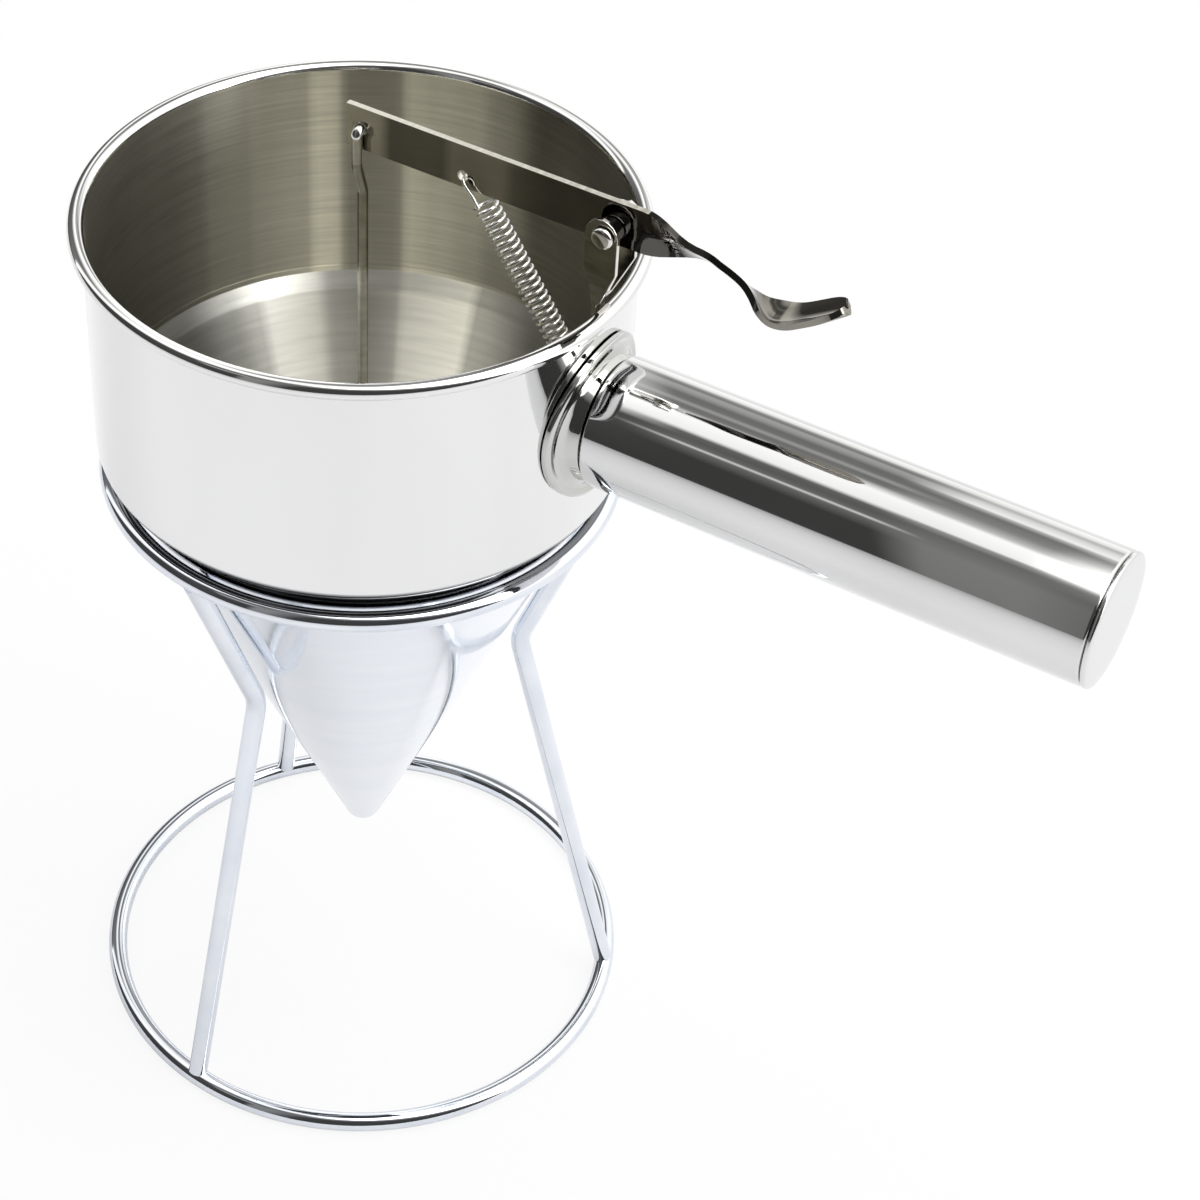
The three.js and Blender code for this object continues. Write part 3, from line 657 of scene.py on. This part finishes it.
# Bowl and cone
def build_bowl():
    """A straight wall, rolled outwards at the rim and drawn in at the shoulder, from one outline."""
    bead = (WALL + BEAD - SHEET, RIM_TOP - BEAD)
    shoulder = rounded([
        (WALL, SHOULDER_TOP + 3), (WALL, SHOULDER_TOP - 1.6), (WALL - 1.0, SHOULDER_TOP - 3.4),
        (CONE_TOP_RADIUS, CONE_TOP)], [3, 3], 5)
    inside = []
    for radius, z in shoulder:
        lapped = z < SHOULDER_TOP - 2
        inside.append((radius - 0.25, z + 0.4) if lapped else (radius - SHEET, z))
    rim = arc(*bead, BEAD, 180, -90, 26) + arc(*bead, BEAD - SHEET, -90, 180, 14)
    outline = inside[::-1] + rim + shoulder
    bowl = turned("bowl", outline + [outline[0]], BOWL_FACETS)
    fit(bowl, POLISHED, "funnel", "polished_steel", "bowl_wall")

    def below_bead(face):
        place = inner_face(face, 0.5)
        return place is not None and place[0] < INNER_WALL + 0.2 and place[1] < RIM_TOP - 1.5

    second_finish(bowl, BRUSHED_WALL_REFLECTIONS, below_bead)


def cone_at(z):
    return TIP_RADIUS + CONE_SLOPE * (z - TIP_Z)


def inside_cone(z):
    return cone_at(z) - CONE_SKIN


def build_cone():
    """The cone, with its lip lapped inside the shoulder and its tip rounded off round the outlet."""
    tip = TIP_Z + TIP_LIP
    outside = rounded([
        (INNER_WALL - 0.05, SHOULDER_TOP + 0.2), (INNER_WALL - 0.3, SHOULDER_TOP - 1.6),
        (WALL - 2.0, SHOULDER_TOP - 3.5), (CONE_TOP_RADIUS - 0.35, CONE_TOP + 0.15)], [2, 2], 3)
    outside += [(cone_at(z), z) for z in (CONE_TOP - 0.3, CONE_MIDDLE, CONE_LOW, tip)]
    outside += arc(TIP_RADIUS - TIP_ROUND, TIP_Z + TIP_ROUND, TIP_ROUND, -10, -170, 6)
    inside = [(inside_cone(z), z) for z in (tip, CONE_LOW, CONE_MIDDLE)]
    inside += rounded([
        (inside_cone(180), 180), (inside_cone(CONE_TOP), CONE_TOP),
        (INNER_WALL - 0.35, SHOULDER_TOP - 1.2), (INNER_WALL - 0.2, SHOULDER_TOP + 0.2)], [5, 0.8], 5)
    outline = outside + inside
    cone = turned("cone", outline + [outline[0]], BOWL_FACETS)
    fit(cone, CONE, "funnel", "polished_steel", "funnel_cone")
    second_finish(cone, BRUSHED_CONE_REFLECTIONS, lambda face: inner_face(face, 0.3))
    second_finish(cone, BRUSHED_WALL_REFLECTIONS, lambda face: face.center.z > (SHOULDER_TOP - 1.25) * MM)


# Handle
def build_handle():
    tube = turned("handle", rounded([
        (HANDLE_BORE, HANDLE_ROOT + 4), (HANDLE_BORE, HANDLE_ROOT), (HANDLE_RADIUS, HANDLE_ROOT),
        (HANDLE_RADIUS, HANDLE_END - 1.3), (HANDLE_BORE, HANDLE_END - 1.3),
        (HANDLE_BORE, HANDLE_ROOT + 4)], [0, 0.55, 0.78, 0], 6), TUBE_FACETS, True)
    fit(tube, HANDLE_SHEET, "funnel", "polished_steel", "handle_tube")
    build_end_cap()
    build_neck()
    build_flange()


def build_end_cap():
    """A slightly domed cap with a skirt that sits in the tube."""
    skirt, thin = HANDLE_BORE - 0.3, HANDLE_BORE - 1.5
    cap = turned("end_cap", rounded([
        (0, HANDLE_END - 0.15), (HANDLE_RADIUS - 3.0, HANDLE_END), (HANDLE_RADIUS, HANDLE_END),
        (HANDLE_RADIUS, HANDLE_END - 1.0), (skirt, HANDLE_END - 1.0), (skirt, HANDLE_END - CAP_SKIRT),
        (thin, HANDLE_END - CAP_SKIRT), (thin, HANDLE_END - 1.2), (0, HANDLE_END - 1.2)],
        [20, 0.6, 0.1, 0, 0, 0, 0], 6), TUBE_FACETS, True)
    fit(cap, HANDLE_SHEET, "funnel", "polished_steel", "handle_end_cap")


def build_neck():
    """A hollow spigot: its face shows in the groove between the collar and the tube, and its dark tone is
    painted shade for that groove.
    """
    face, spigot, bore = HANDLE_RADIUS - 1.95, HANDLE_BORE - 0.3, 13.0
    back, step, end, floor = 69.5, 70.8, 79.1, 70.7
    neck = turned("neck", rounded([
        (0, back), (face, back), (face, step), (spigot, step), (spigot, end), (bore, end),
        (bore, floor), (0, floor)], [0.2, 0.3, 0.2, 0.2, 0, 0], 4), NECK_FACETS, True)
    fit(neck, NECK_SHADE_SHEET, "funnel", "polished_steel", "handle_neck")


def build_flange():
    """A brim pressed to the bowl's curve, with a flared collar: turned flat, then wrapped on the wall."""
    top = FLANGE_SKIN + COLLAR
    brim = rounded([
        (18, FLANGE_BACK), (BRIM, FLANGE_BACK), (BRIM, FLANGE_SKIN + 0.3),
        (BRIM - 1.0, FLANGE_SKIN + 0.75), (BRIM - 2.2, FLANGE_SKIN + 0.1),
        (HANDLE_RADIUS + 1.2, FLANGE_SKIN + 0.1), (HANDLE_RADIUS - 0.5, FLANGE_SKIN + 0.9),
        (HANDLE_RADIUS - 1.15, top), (12, top)], [0.15, 0.5, 0.8, 0.9, 1.2, 0.9, 0.3], 5)
    outline = [(radius, FLANGE_BACK) for radius in (0, 4, 8, 12, 15, 18)] + brim[1:] + [(0, top)]
    flange = turned("flange", outline, TUBE_FACETS, True)
    for corner in flange.data.vertices:
        across = corner.co.y / MM
        drop = WALL - math.sqrt(WALL ** 2 - across ** 2)
        reach = corner.co.x / MM - FUNNEL_X
        share = max(0.0, min(1.0, (top - reach) / 1.5))
        corner.co.x -= drop * share * MM
    fit(flange, FLANGE_SHEET, "funnel", "polished_steel", "handle_flange")


# Lever: a strip on edge, drawn out and twisted flat for the thumb
def lever_line():
    """The middle line of the drawn part: a smooth curve through shares of its length and depth."""
    along = (0, 0.225, 0.315, 0.404, 0.479, 0.551, 0.64, 0.73, 0.831, 0.942, 1)
    drop = (0, 0.048, 0.205, 0.398, 0.651, 0.904, 1, 0.892, 0.578, 0.193, 0)
    keys = [Vector((DRAWN_FROM + DRAWN_LENGTH * a, LEVER_Z - DRAWN_DEPTH * d)) for a, d in zip(along, drop)]
    keys = [keys[0] * 2 - keys[1]] + keys + [keys[-1] * 2 - keys[-2]]
    line = [Vector((LEVER_STRAIGHT + step, LEVER_Z)) for step in (0, 1.5, 3, 4.5)]
    for p0, p1, p2, p3 in zip(keys, keys[1:], keys[2:], keys[3:]):
        for i in range(5):
            t = i / 5
            line.append(0.5 * (2 * p1 + (p2 - p0) * t + (2 * p0 - 5 * p1 + 4 * p2 - p3) * t * t
                               + (3 * p1 - p0 - 3 * p2 + p3) * t ** 3))
    return line + [keys[-2]]


def ease(value, low, high):
    """From 0 at low to 1 at high, with a soft start and end."""
    t = max(0.0, min(1.0, (value - low) / (high - low)))
    return t * t * (3 - 2 * t)


def lever_width(reach):
    width = LEVER_HEIGHT + (LEVER_WAIST - LEVER_HEIGHT) * ease(reach, *WAIST_SPAN)
    width += (THUMB_WIDTH - width) * ease(reach, *THUMB_SPAN)
    tip = max(0.0, reach - THUMB_ROUND_FROM) / THUMB_ROUND
    return width * math.sqrt(max(0.04, 1 - 0.96 * tip ** 2))


def lever_section(line, i):
    """Slope, twist, width and dish of the strip at one point of its line."""
    reach = line[i].x
    ahead = line[min(i + 1, len(line) - 1)] - line[i - 1]
    slope = math.atan2(ahead.y, ahead.x)
    twist = math.radians(LEANING_DEGREES * ease(reach, *LEANING_SPAN)
                         + FLATTENING_DEGREES * ease(reach, *FLATTENING_SPAN))
    return slope, twist, lever_width(reach), THUMB_DISH * ease(reach, *DISH_SPAN)


def strip_corner(place, middle, old, new):
    """Takes one corner of the strip's section from its old slope, twist, width and dish to its new ones."""
    turn_back = Matrix.Rotation(-old[0], 3, "Y") @ Matrix.Rotation(old[1], 3, "X")
    turn = Matrix.Rotation(-new[0], 3, "Y") @ Matrix.Rotation(new[1], 3, "X")
    local = turn_back.inverted() @ (place - middle)
    share = 2 * local.z / (old[2] * MM)
    local.y -= (new[3] - old[3]) * MM * (1 - share ** 2)
    local.z *= new[2] / old[2]
    local.x = 0
    return middle + turn @ local


def draw_out(piece):
    """Extrudes the strip's end along its line and turns each new section."""
    line = lever_line()
    here, section = line[0], (0.0, 0.0, LEVER_HEIGHT, 0.0)
    for i, there in enumerate(line[1:], 1):
        new_section = lever_section(line, i)
        middle = spot(there.x, 0, there.y)
        bpy.ops.object.mode_set(mode="EDIT")
        bpy.ops.mesh.extrude_region_move(
            TRANSFORM_OT_translate={"value": middle - spot(here.x, 0, here.y)})
        bpy.ops.object.mode_set(mode="OBJECT")
        for corner in piece.data.vertices:
            if corner.select:
                corner.co = strip_corner(corner.co, middle, section, new_section)
        here, section = there, new_section


def bore_lever(piece):
    """The rod's slot, the pivot's hole and the spring's hole."""
    slot = cross_bore(-ROD_PLAY / 2, LEVER_Z, ROD + ROD_CLEARANCE)
    for corner in slot.data.vertices:
        side = corner.co.x - spot(-ROD_PLAY / 2, 0, 0).x
        corner.co.x += math.copysign(ROD_PLAY / 2 * MM, side)
    cut_away(piece, slot)
    cut_away(piece, cross_bore(PIVOT_REACH, PIVOT_Z, PIVOT_BORE))
    cut_away(piece, cross_bore(*SPRING_HOLE, HOOK_BORE))


def build_lever():
    deselect()
    bpy.ops.mesh.primitive_cube_add(size=1, location=spot((LEVER_BACK + LEVER_STRAIGHT) / 2, 0, LEVER_Z))
    piece = bpy.context.object
    piece.name = "lever_strip"
    piece.scale = ((LEVER_STRAIGHT - LEVER_BACK) * MM, LEVER_THICKNESS * MM, LEVER_HEIGHT * MM)
    settle(piece)
    edit(piece, "DESELECT")
    bpy.ops.object.mode_set(mode="OBJECT")
    for edge in piece.data.edges:
        ends = [piece.data.vertices[v].co for v in edge.vertices]
        edge.select = abs(ends[0].z - ends[1].z) > MM
    bpy.ops.object.mode_set(mode="EDIT")
    bpy.ops.mesh.subdivide(number_cuts=7)
    bpy.ops.mesh.select_all(action="DESELECT")
    bpy.ops.object.mode_set(mode="OBJECT")
    for face in piece.data.polygons:
        face.select = face.normal.x > 0.9
    draw_out(piece)
    close_up(piece, 35)
    bore_lever(piece)
    soften(piece, 0.34, 3, 50)
    fit(piece, STRIP, "lever", "strip_steel", "lever")
    straight_end = spot(LEVER_STRAIGHT + 2, 0, 0).x
    second_finish(piece, EDGE, lambda face: abs(face.normal.y) < 0.5 and face.center.x < straight_end)


# Pivot fittings
def build_pivot():
    """Bracket, pin, nut and bushes: the faces to the sides painted dark as a painted reflection, satin all
    round.
    """
    edges = {"pivot_bracket": 0.28, "pivot_pin": 0.2, "pivot_nut": 0.2,
             "pivot_bush_near": 0.12, "pivot_bush_far": 0.12}
    for node, width in edges.items():
        piece = finished_copy(node, node.replace("pivot_", "finished_"), width)
        fit(piece, PRESSED_DARK_REFLECTION, "funnel", "satin_steel", node)
        # The side faces keep the dark tone, a painted reflection.
        second_finish(piece, SATIN, lambda face: abs(face.normal.y) < 0.9)


# Valve: rod, plug and lock nut
def build_rod():
    """A straight rod with a jog to the near side and a hook through the lever's slot."""
    corners = [spot(0, 0, ROD_FOOT), spot(0, 0, JOG_LOW), spot(0, -ROD_OFFSET, JOG_TOP),
               spot(0, -ROD_OFFSET, LEVER_Z), spot(0, ROD_OFFSET, LEVER_Z), spot(0, ROD_OFFSET, LEVER_Z - 5)]
    rod = wire("rod", corners, [6, 6, 1.6, 1.6], ROD, 20, 8)
    soften(rod, 0.3, 3, 60)
    fit(rod, ROD_STEEL, "valve", "satin_steel", "valve_rod")
    # Up to just above the jog the rod keeps the painted dark reflection; above it, satin.
    second_finish(rod, SATIN, lambda face: face.center.z > (JOG_TOP + 2) * MM)


def build_valve():
    build_rod()
    shank, bore, top = 3.2, 1.65, PLUG_Z + 10.5
    plug = turned("plug", arc(0, PLUG_Z, PLUG_RADIUS, -90, 45, 18) + rounded(
        [(3.9, PLUG_Z + 3.9), (shank, PLUG_Z + 8), (shank, top), (bore, top)],
        [3, 0.4], 4)[1:] + [(bore, PLUG_Z + 2.5), (0, PLUG_Z + 2.5)], PLUG_FACETS)
    fit(plug, SATIN, "valve", "satin_steel", "valve_plug")
    fit(finished_copy("valve_lock_nut", "lock_nut", 0.2), SATIN, "valve", "satin_steel", "valve_lock_nut")


# Return spring: open coils between two hooks
def wound_coil(length):
    deselect()
    bpy.ops.mesh.primitive_circle_add(
        vertices=12, radius=SPRING_WIRE * MM, fill_type="NOTHING", location=(-COIL_RADIUS * MM, 0, 0),
        rotation=(math.pi / 2, 0, 0))
    piece = bpy.context.object
    piece.name = "coil_spring"
    settle(piece)
    winding = piece.modifiers.new("winding", "SCREW")
    winding.axis = "Z"
    winding.angle = 2 * math.pi * COIL_TURNS
    winding.screw_offset = length * MM
    winding.steps = winding.render_steps = 24 * COIL_TURNS
    bpy.ops.object.modifier_apply(modifier=winding.name)
    return piece


def build_spring():
    top, bottom = spot(SPRING_HOLE[0], 0, SPRING_HOLE[1]), spot(LUG_HOLE[0], 0, LUG_HOLE[1])
    along = (bottom - top).normalized()
    across = Vector((0, 1, 0))
    over = along.cross(across)
    length = (bottom - top).length / MM - 2 * SPRING_SEAT

    def place(distance, y, lift=0):
        """A place on the spring's line, from its upper hook down."""
        return top + (along * (SPRING_SEAT + distance) + across * y + over * lift) * MM

    coil = length - 2 * SPRING_LEAD
    piece = wound_coil(coil)
    leaning = (along * coil - over * 2 * SPRING_LEAN).normalized()
    turn = Matrix((across, across.cross(leaning) * -1, leaning)).transposed()
    piece.matrix_world = Matrix.Translation(place(SPRING_LEAD, 0, SPRING_LEAN)) @ turn.to_4x4()
    settle(piece)

    hooks = []
    for from_end, side in ((lambda d: d, 1), (lambda d: length - d, -1)):
        hooks.append(wire("hook", [
            place(from_end(SPRING_LEAD + 0.1), -COIL_RADIUS, side * SPRING_LEAN),
            place(from_end(4.6), -SPRING_HOOK, side * SPRING_LEAN / 2),
            place(from_end(0), -SPRING_HOOK), place(from_end(0), SPRING_HOOK),
            place(from_end(3.2), SPRING_HOOK)], [2, 1.9, 1.9], SPRING_WIRE, 12, 7))
    deselect()
    for part in (piece, *hooks):
        part.select_set(True)
    bpy.context.view_layer.objects.active = piece
    bpy.ops.object.join()
    edit(piece, "DESELECT")
    bpy.ops.mesh.select_non_manifold()
    bpy.ops.mesh.fill_holes(sides=0)
    close_up(piece, 40)
    piece.data.materials.clear()
    piece.data.materials.append(SPRING)
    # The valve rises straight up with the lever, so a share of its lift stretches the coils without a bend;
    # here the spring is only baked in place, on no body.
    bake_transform(piece)
    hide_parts("return_spring")


build_stand()
build_bowl()
build_cone()
build_handle()
build_lever()
build_pivot()
build_valve()
build_spring()


# Set: floor, lights, what the steel mirrors, and the camera
def white_floor():
    """White to the camera, paler far off, partly white to mirrors with a painted glow behind and round the
    funnel's axis, and plain paint to the lamps.
    """
    deselect()
    bpy.ops.mesh.primitive_plane_add(size=FLOOR_SIZE, location=(0, 0, 0))
    floor = bpy.context.object
    floor.name = "floor"
    material = bpy.data.materials.new("white_floor")
    material.use_nodes = True
    tree = material.node_tree
    tree.nodes.clear()
    out = tree.nodes.new("ShaderNodeOutputMaterial")
    paint = tree.nodes.new("ShaderNodeBsdfDiffuse")
    paint.inputs["Color"].default_value = (0.82, 0.82, 0.83, 1)
    glow = tree.nodes.new("ShaderNodeEmission")
    glow.inputs["Color"].default_value = (1, 1, 1, 1)
    finish = tree.nodes.new("ShaderNodeMixShader")
    path = tree.nodes.new("ShaderNodeLightPath")
    place = tree.nodes.new("ShaderNodeTexCoord")
    parts = tree.nodes.new("ShaderNodeSeparateXYZ")
    tree.links.new(place.outputs["Object"], parts.inputs["Vector"])
    away = tree.nodes.new("ShaderNodeVectorMath")
    away.operation = "LENGTH"
    tree.links.new(place.outputs["Object"], away.inputs[0])
    # Painted light: to mirrors the floor glows more behind and in a pool round the funnel's axis, where the
    # bowl's shadow falls.
    lit = math_node(tree, "MAXIMUM", 0, ramp(tree, parts.outputs["Y"], 0, 0.9, 0.02, 0.4))
    tree.links.new(ramp(tree, away.outputs["Value"], 0.4, 0, 0.06, 0.2), lit.inputs[1])
    mirrored = math_node(tree, "MULTIPLY", 0, path.outputs["Is Glossy Ray"])
    tree.links.new(lit.outputs["Value"], mirrored.inputs[1])
    camera = math_node(tree, "MULTIPLY", 0, path.outputs["Is Camera Ray"])
    tree.links.new(ramp(tree, away.outputs["Value"], 0.88, 1, 0.35, 1.1), camera.inputs[1])
    seen = math_node(tree, "ADD", 0, camera.outputs["Value"])
    tree.links.new(mirrored.outputs["Value"], seen.inputs[1])
    tree.links.new(seen.outputs["Value"], finish.inputs["Fac"])
    tree.links.new(paint.outputs["BSDF"], finish.inputs[1])
    tree.links.new(glow.outputs["Emission"], finish.inputs[2])
    tree.links.new(finish.outputs["Shader"], out.inputs["Surface"])
    floor.data.materials.append(material)


def stripes(tree, share, levels):
    """Bright and dark strips of the studio, from the horizon in front, over the top, to the one behind."""
    strips = tree.nodes.new("ShaderNodeValToRGB")
    points = strips.color_ramp.elements
    while len(points) < len(levels):
        points.new(0.5)
    for point, (position, level) in zip(points, levels):
        point.position = position
        grey = level / BRIGHTEST
        point.color = (grey, grey, grey * 0.98, 1)
    tree.links.new(share.outputs["Value"], strips.inputs["Fac"])
    return strips.outputs["Color"]


def blend_by(tree, source, start, end, first, second):
    mix = tree.nodes.new("ShaderNodeMix")
    mix.data_type = "RGBA"
    tree.links.new(ramp(tree, source, 0, 1, start, end), mix.inputs[0])
    tree.links.new(first, mix.inputs[6])
    tree.links.new(second, mix.inputs[7])
    return mix.outputs[2]


def studio_surround():
    """A dome that only mirrors see: dark walls in front, a bright strip overhead, grey and white behind."""
    deselect()
    bpy.ops.mesh.primitive_uv_sphere_add(segments=48, ring_count=32, radius=DOME_RADIUS, location=(0, 0, 0))
    dome = bpy.context.object
    dome.name = "studio_surround"
    edit(dome)
    bpy.ops.mesh.bisect(plane_co=(0, 0, 0.002), plane_no=(0, 0, 1), clear_inner=True)
    bpy.ops.object.mode_set(mode="OBJECT")
    dome.visible_camera = False
    dome.visible_diffuse = False
    dome.visible_shadow = False
    material = bpy.data.materials.new("studio_surround")
    material.use_nodes = True
    material.cycles.emission_sampling = "NONE"
    tree = material.node_tree
    tree.nodes.clear()
    out = tree.nodes.new("ShaderNodeOutputMaterial")
    glow = tree.nodes.new("ShaderNodeEmission")
    place = tree.nodes.new("ShaderNodeTexCoord")
    parts = tree.nodes.new("ShaderNodeSeparateXYZ")
    height = math_node(tree, "ARCTAN2")
    share = math_node(tree, "DIVIDE", math.pi)
    tree.links.new(place.outputs["Object"], parts.inputs["Vector"])
    tree.links.new(parts.outputs["Z"], height.inputs[0])
    tree.links.new(math_node(tree, "MULTIPLY", -1, parts.outputs["Y"]).outputs["Value"], height.inputs[1])
    tree.links.new(height.outputs["Value"], share.inputs[0])
    middle = stripes(tree, share, (
        (0, 0.055), (0.2, 0.055), (0.24, 0.12), (0.275, 0.18), (0.289, 0.85), (0.303, 0.18),
        (0.344, 0.13), (0.385, 0.16), (0.415, 1.2), (0.52, 1.35), (0.55, 0.9), (0.585, 0.25),
        (0.62, 0.2), (0.65, 0.45), (0.68, 0.22), (0.73, 0.2), (0.78, 0.42), (0.82, 0.48),
        (0.85, 0.25), (0.88, 0.4), (0.92, 1.1), (1, 1.35)))
    end = stripes(tree, share, (
        (0, 0.24), (0.24, 0.26), (0.3, 0.22), (0.36, 0.18), (0.4, 0.4), (0.415, 1.2), (0.52, 1.35),
        (0.55, 0.7), (0.58, 0.5), (0.62, 0.3), (0.7, 0.22), (0.74, 0.6), (0.76, 1.2), (0.83, 0.9),
        (0.87, 0.6), (0.92, 1.1), (1, 1.3)))
    right = stripes(tree, share, (
        (0, 0.05), (0.3, 0.06), (0.38, 0.5), (0.43, 5), (0.58, 4.5), (0.68, 1.4), (1, 1.2)))
    left = stripes(tree, share, (
        (0, 0.05), (0.37, 0.06), (0.41, 1.1), (0.53, 1.3), (0.58, 0.2), (0.8, 0.1), (1, 0.08)))
    colour = blend_by(tree, parts.outputs["X"], -0.63, -0.5, middle, end)
    colour = blend_by(tree, parts.outputs["X"], -0.25, 0.3, colour, right)
    high = stripes(tree, share, (
        (0, 0.05), (0.34, 0.08), (0.4, 1.2), (0.53, 1.6), (0.6, 1), (0.68, 1.2), (0.86, 1.4), (1, 1.2)))
    colour = blend_by(tree, parts.outputs["X"], -1.12, -1.3, colour, high)
    colour = blend_by(tree, parts.outputs["X"], -1.6, -2.1, colour, left)
    tree.links.new(colour, glow.inputs["Color"])
    glow.inputs["Strength"].default_value = BRIGHTEST
    tree.links.new(glow.outputs["Emission"], out.inputs["Surface"])
    dome.data.materials.append(material)


def soft_light(name, place, size, watts):
    lamp = bpy.data.lights.new(name, "AREA")
    lamp.shape = "DISK"
    lamp.size = size
    lamp.energy = watts
    holder = bpy.data.objects.new(name, lamp)
    bpy.context.scene.collection.objects.link(holder)
    holder.location = place
    holder.rotation_euler = (Vector(LIT_PLACE) - Vector(place)).to_track_quat("-Z", "Y").to_euler()
    holder.visible_glossy = False


def pale_world():
    """White to the camera and in reflections, half as bright as a light."""
    world = bpy.data.worlds.new("pale_world")
    bpy.context.scene.world = world
    world.use_nodes = True
    tree = world.node_tree
    back = tree.nodes["Background"]
    back.inputs["Color"].default_value = (1, 1, 1, 1)
    path = tree.nodes.new("ShaderNodeLightPath")
    seen = math_node(tree, "MAXIMUM", 0, path.outputs["Is Camera Ray"])
    tree.links.new(path.outputs["Is Glossy Ray"], seen.inputs[1])
    white = math_node(tree, "MAXIMUM", 0, seen.outputs["Value"])
    tree.links.new(path.outputs["Is Transmission Ray"], white.inputs[1])
    tree.links.new(ramp(tree, white.outputs["Value"], 0.5, 1, 0, 1), back.inputs["Strength"])


def studio_camera():
    """The photograph's view: from over the near side of the handle, a little rolled."""
    lens = bpy.data.cameras.new("camera")
    lens.sensor_width = 36
    lens.lens = 88.88
    lens.shift_x = 0.04
    lens.clip_start = 0.05
    holder = bpy.data.objects.new("camera", lens)
    bpy.context.scene.collection.objects.link(holder)
    holder.location = (0.2611, -0.4839, 0.6451)
    turn, pitch, roll = math.radians(118.83), math.radians(41.42), math.radians(3.21)
    look = Vector((math.cos(turn) * math.cos(pitch), math.sin(turn) * math.cos(pitch), -math.sin(pitch)))
    aim = look.to_track_quat("-Z", "Y") @ Quaternion((0, 0, 1), roll)
    holder.rotation_euler = aim.to_euler()
    bpy.context.scene.camera = holder


white_floor()
studio_surround()
soft_light("overhead", (0.3, 0.5, 1.9), 1.6, 21)
soft_light("right", (1.4, 0.1, 1.3), 1.2, 12)
soft_light("left", (-1.4, -0.2, 1.3), 1.2, 6)
pale_world()
studio_camera()
bpy.context.scene.view_settings.view_transform = "Standard"
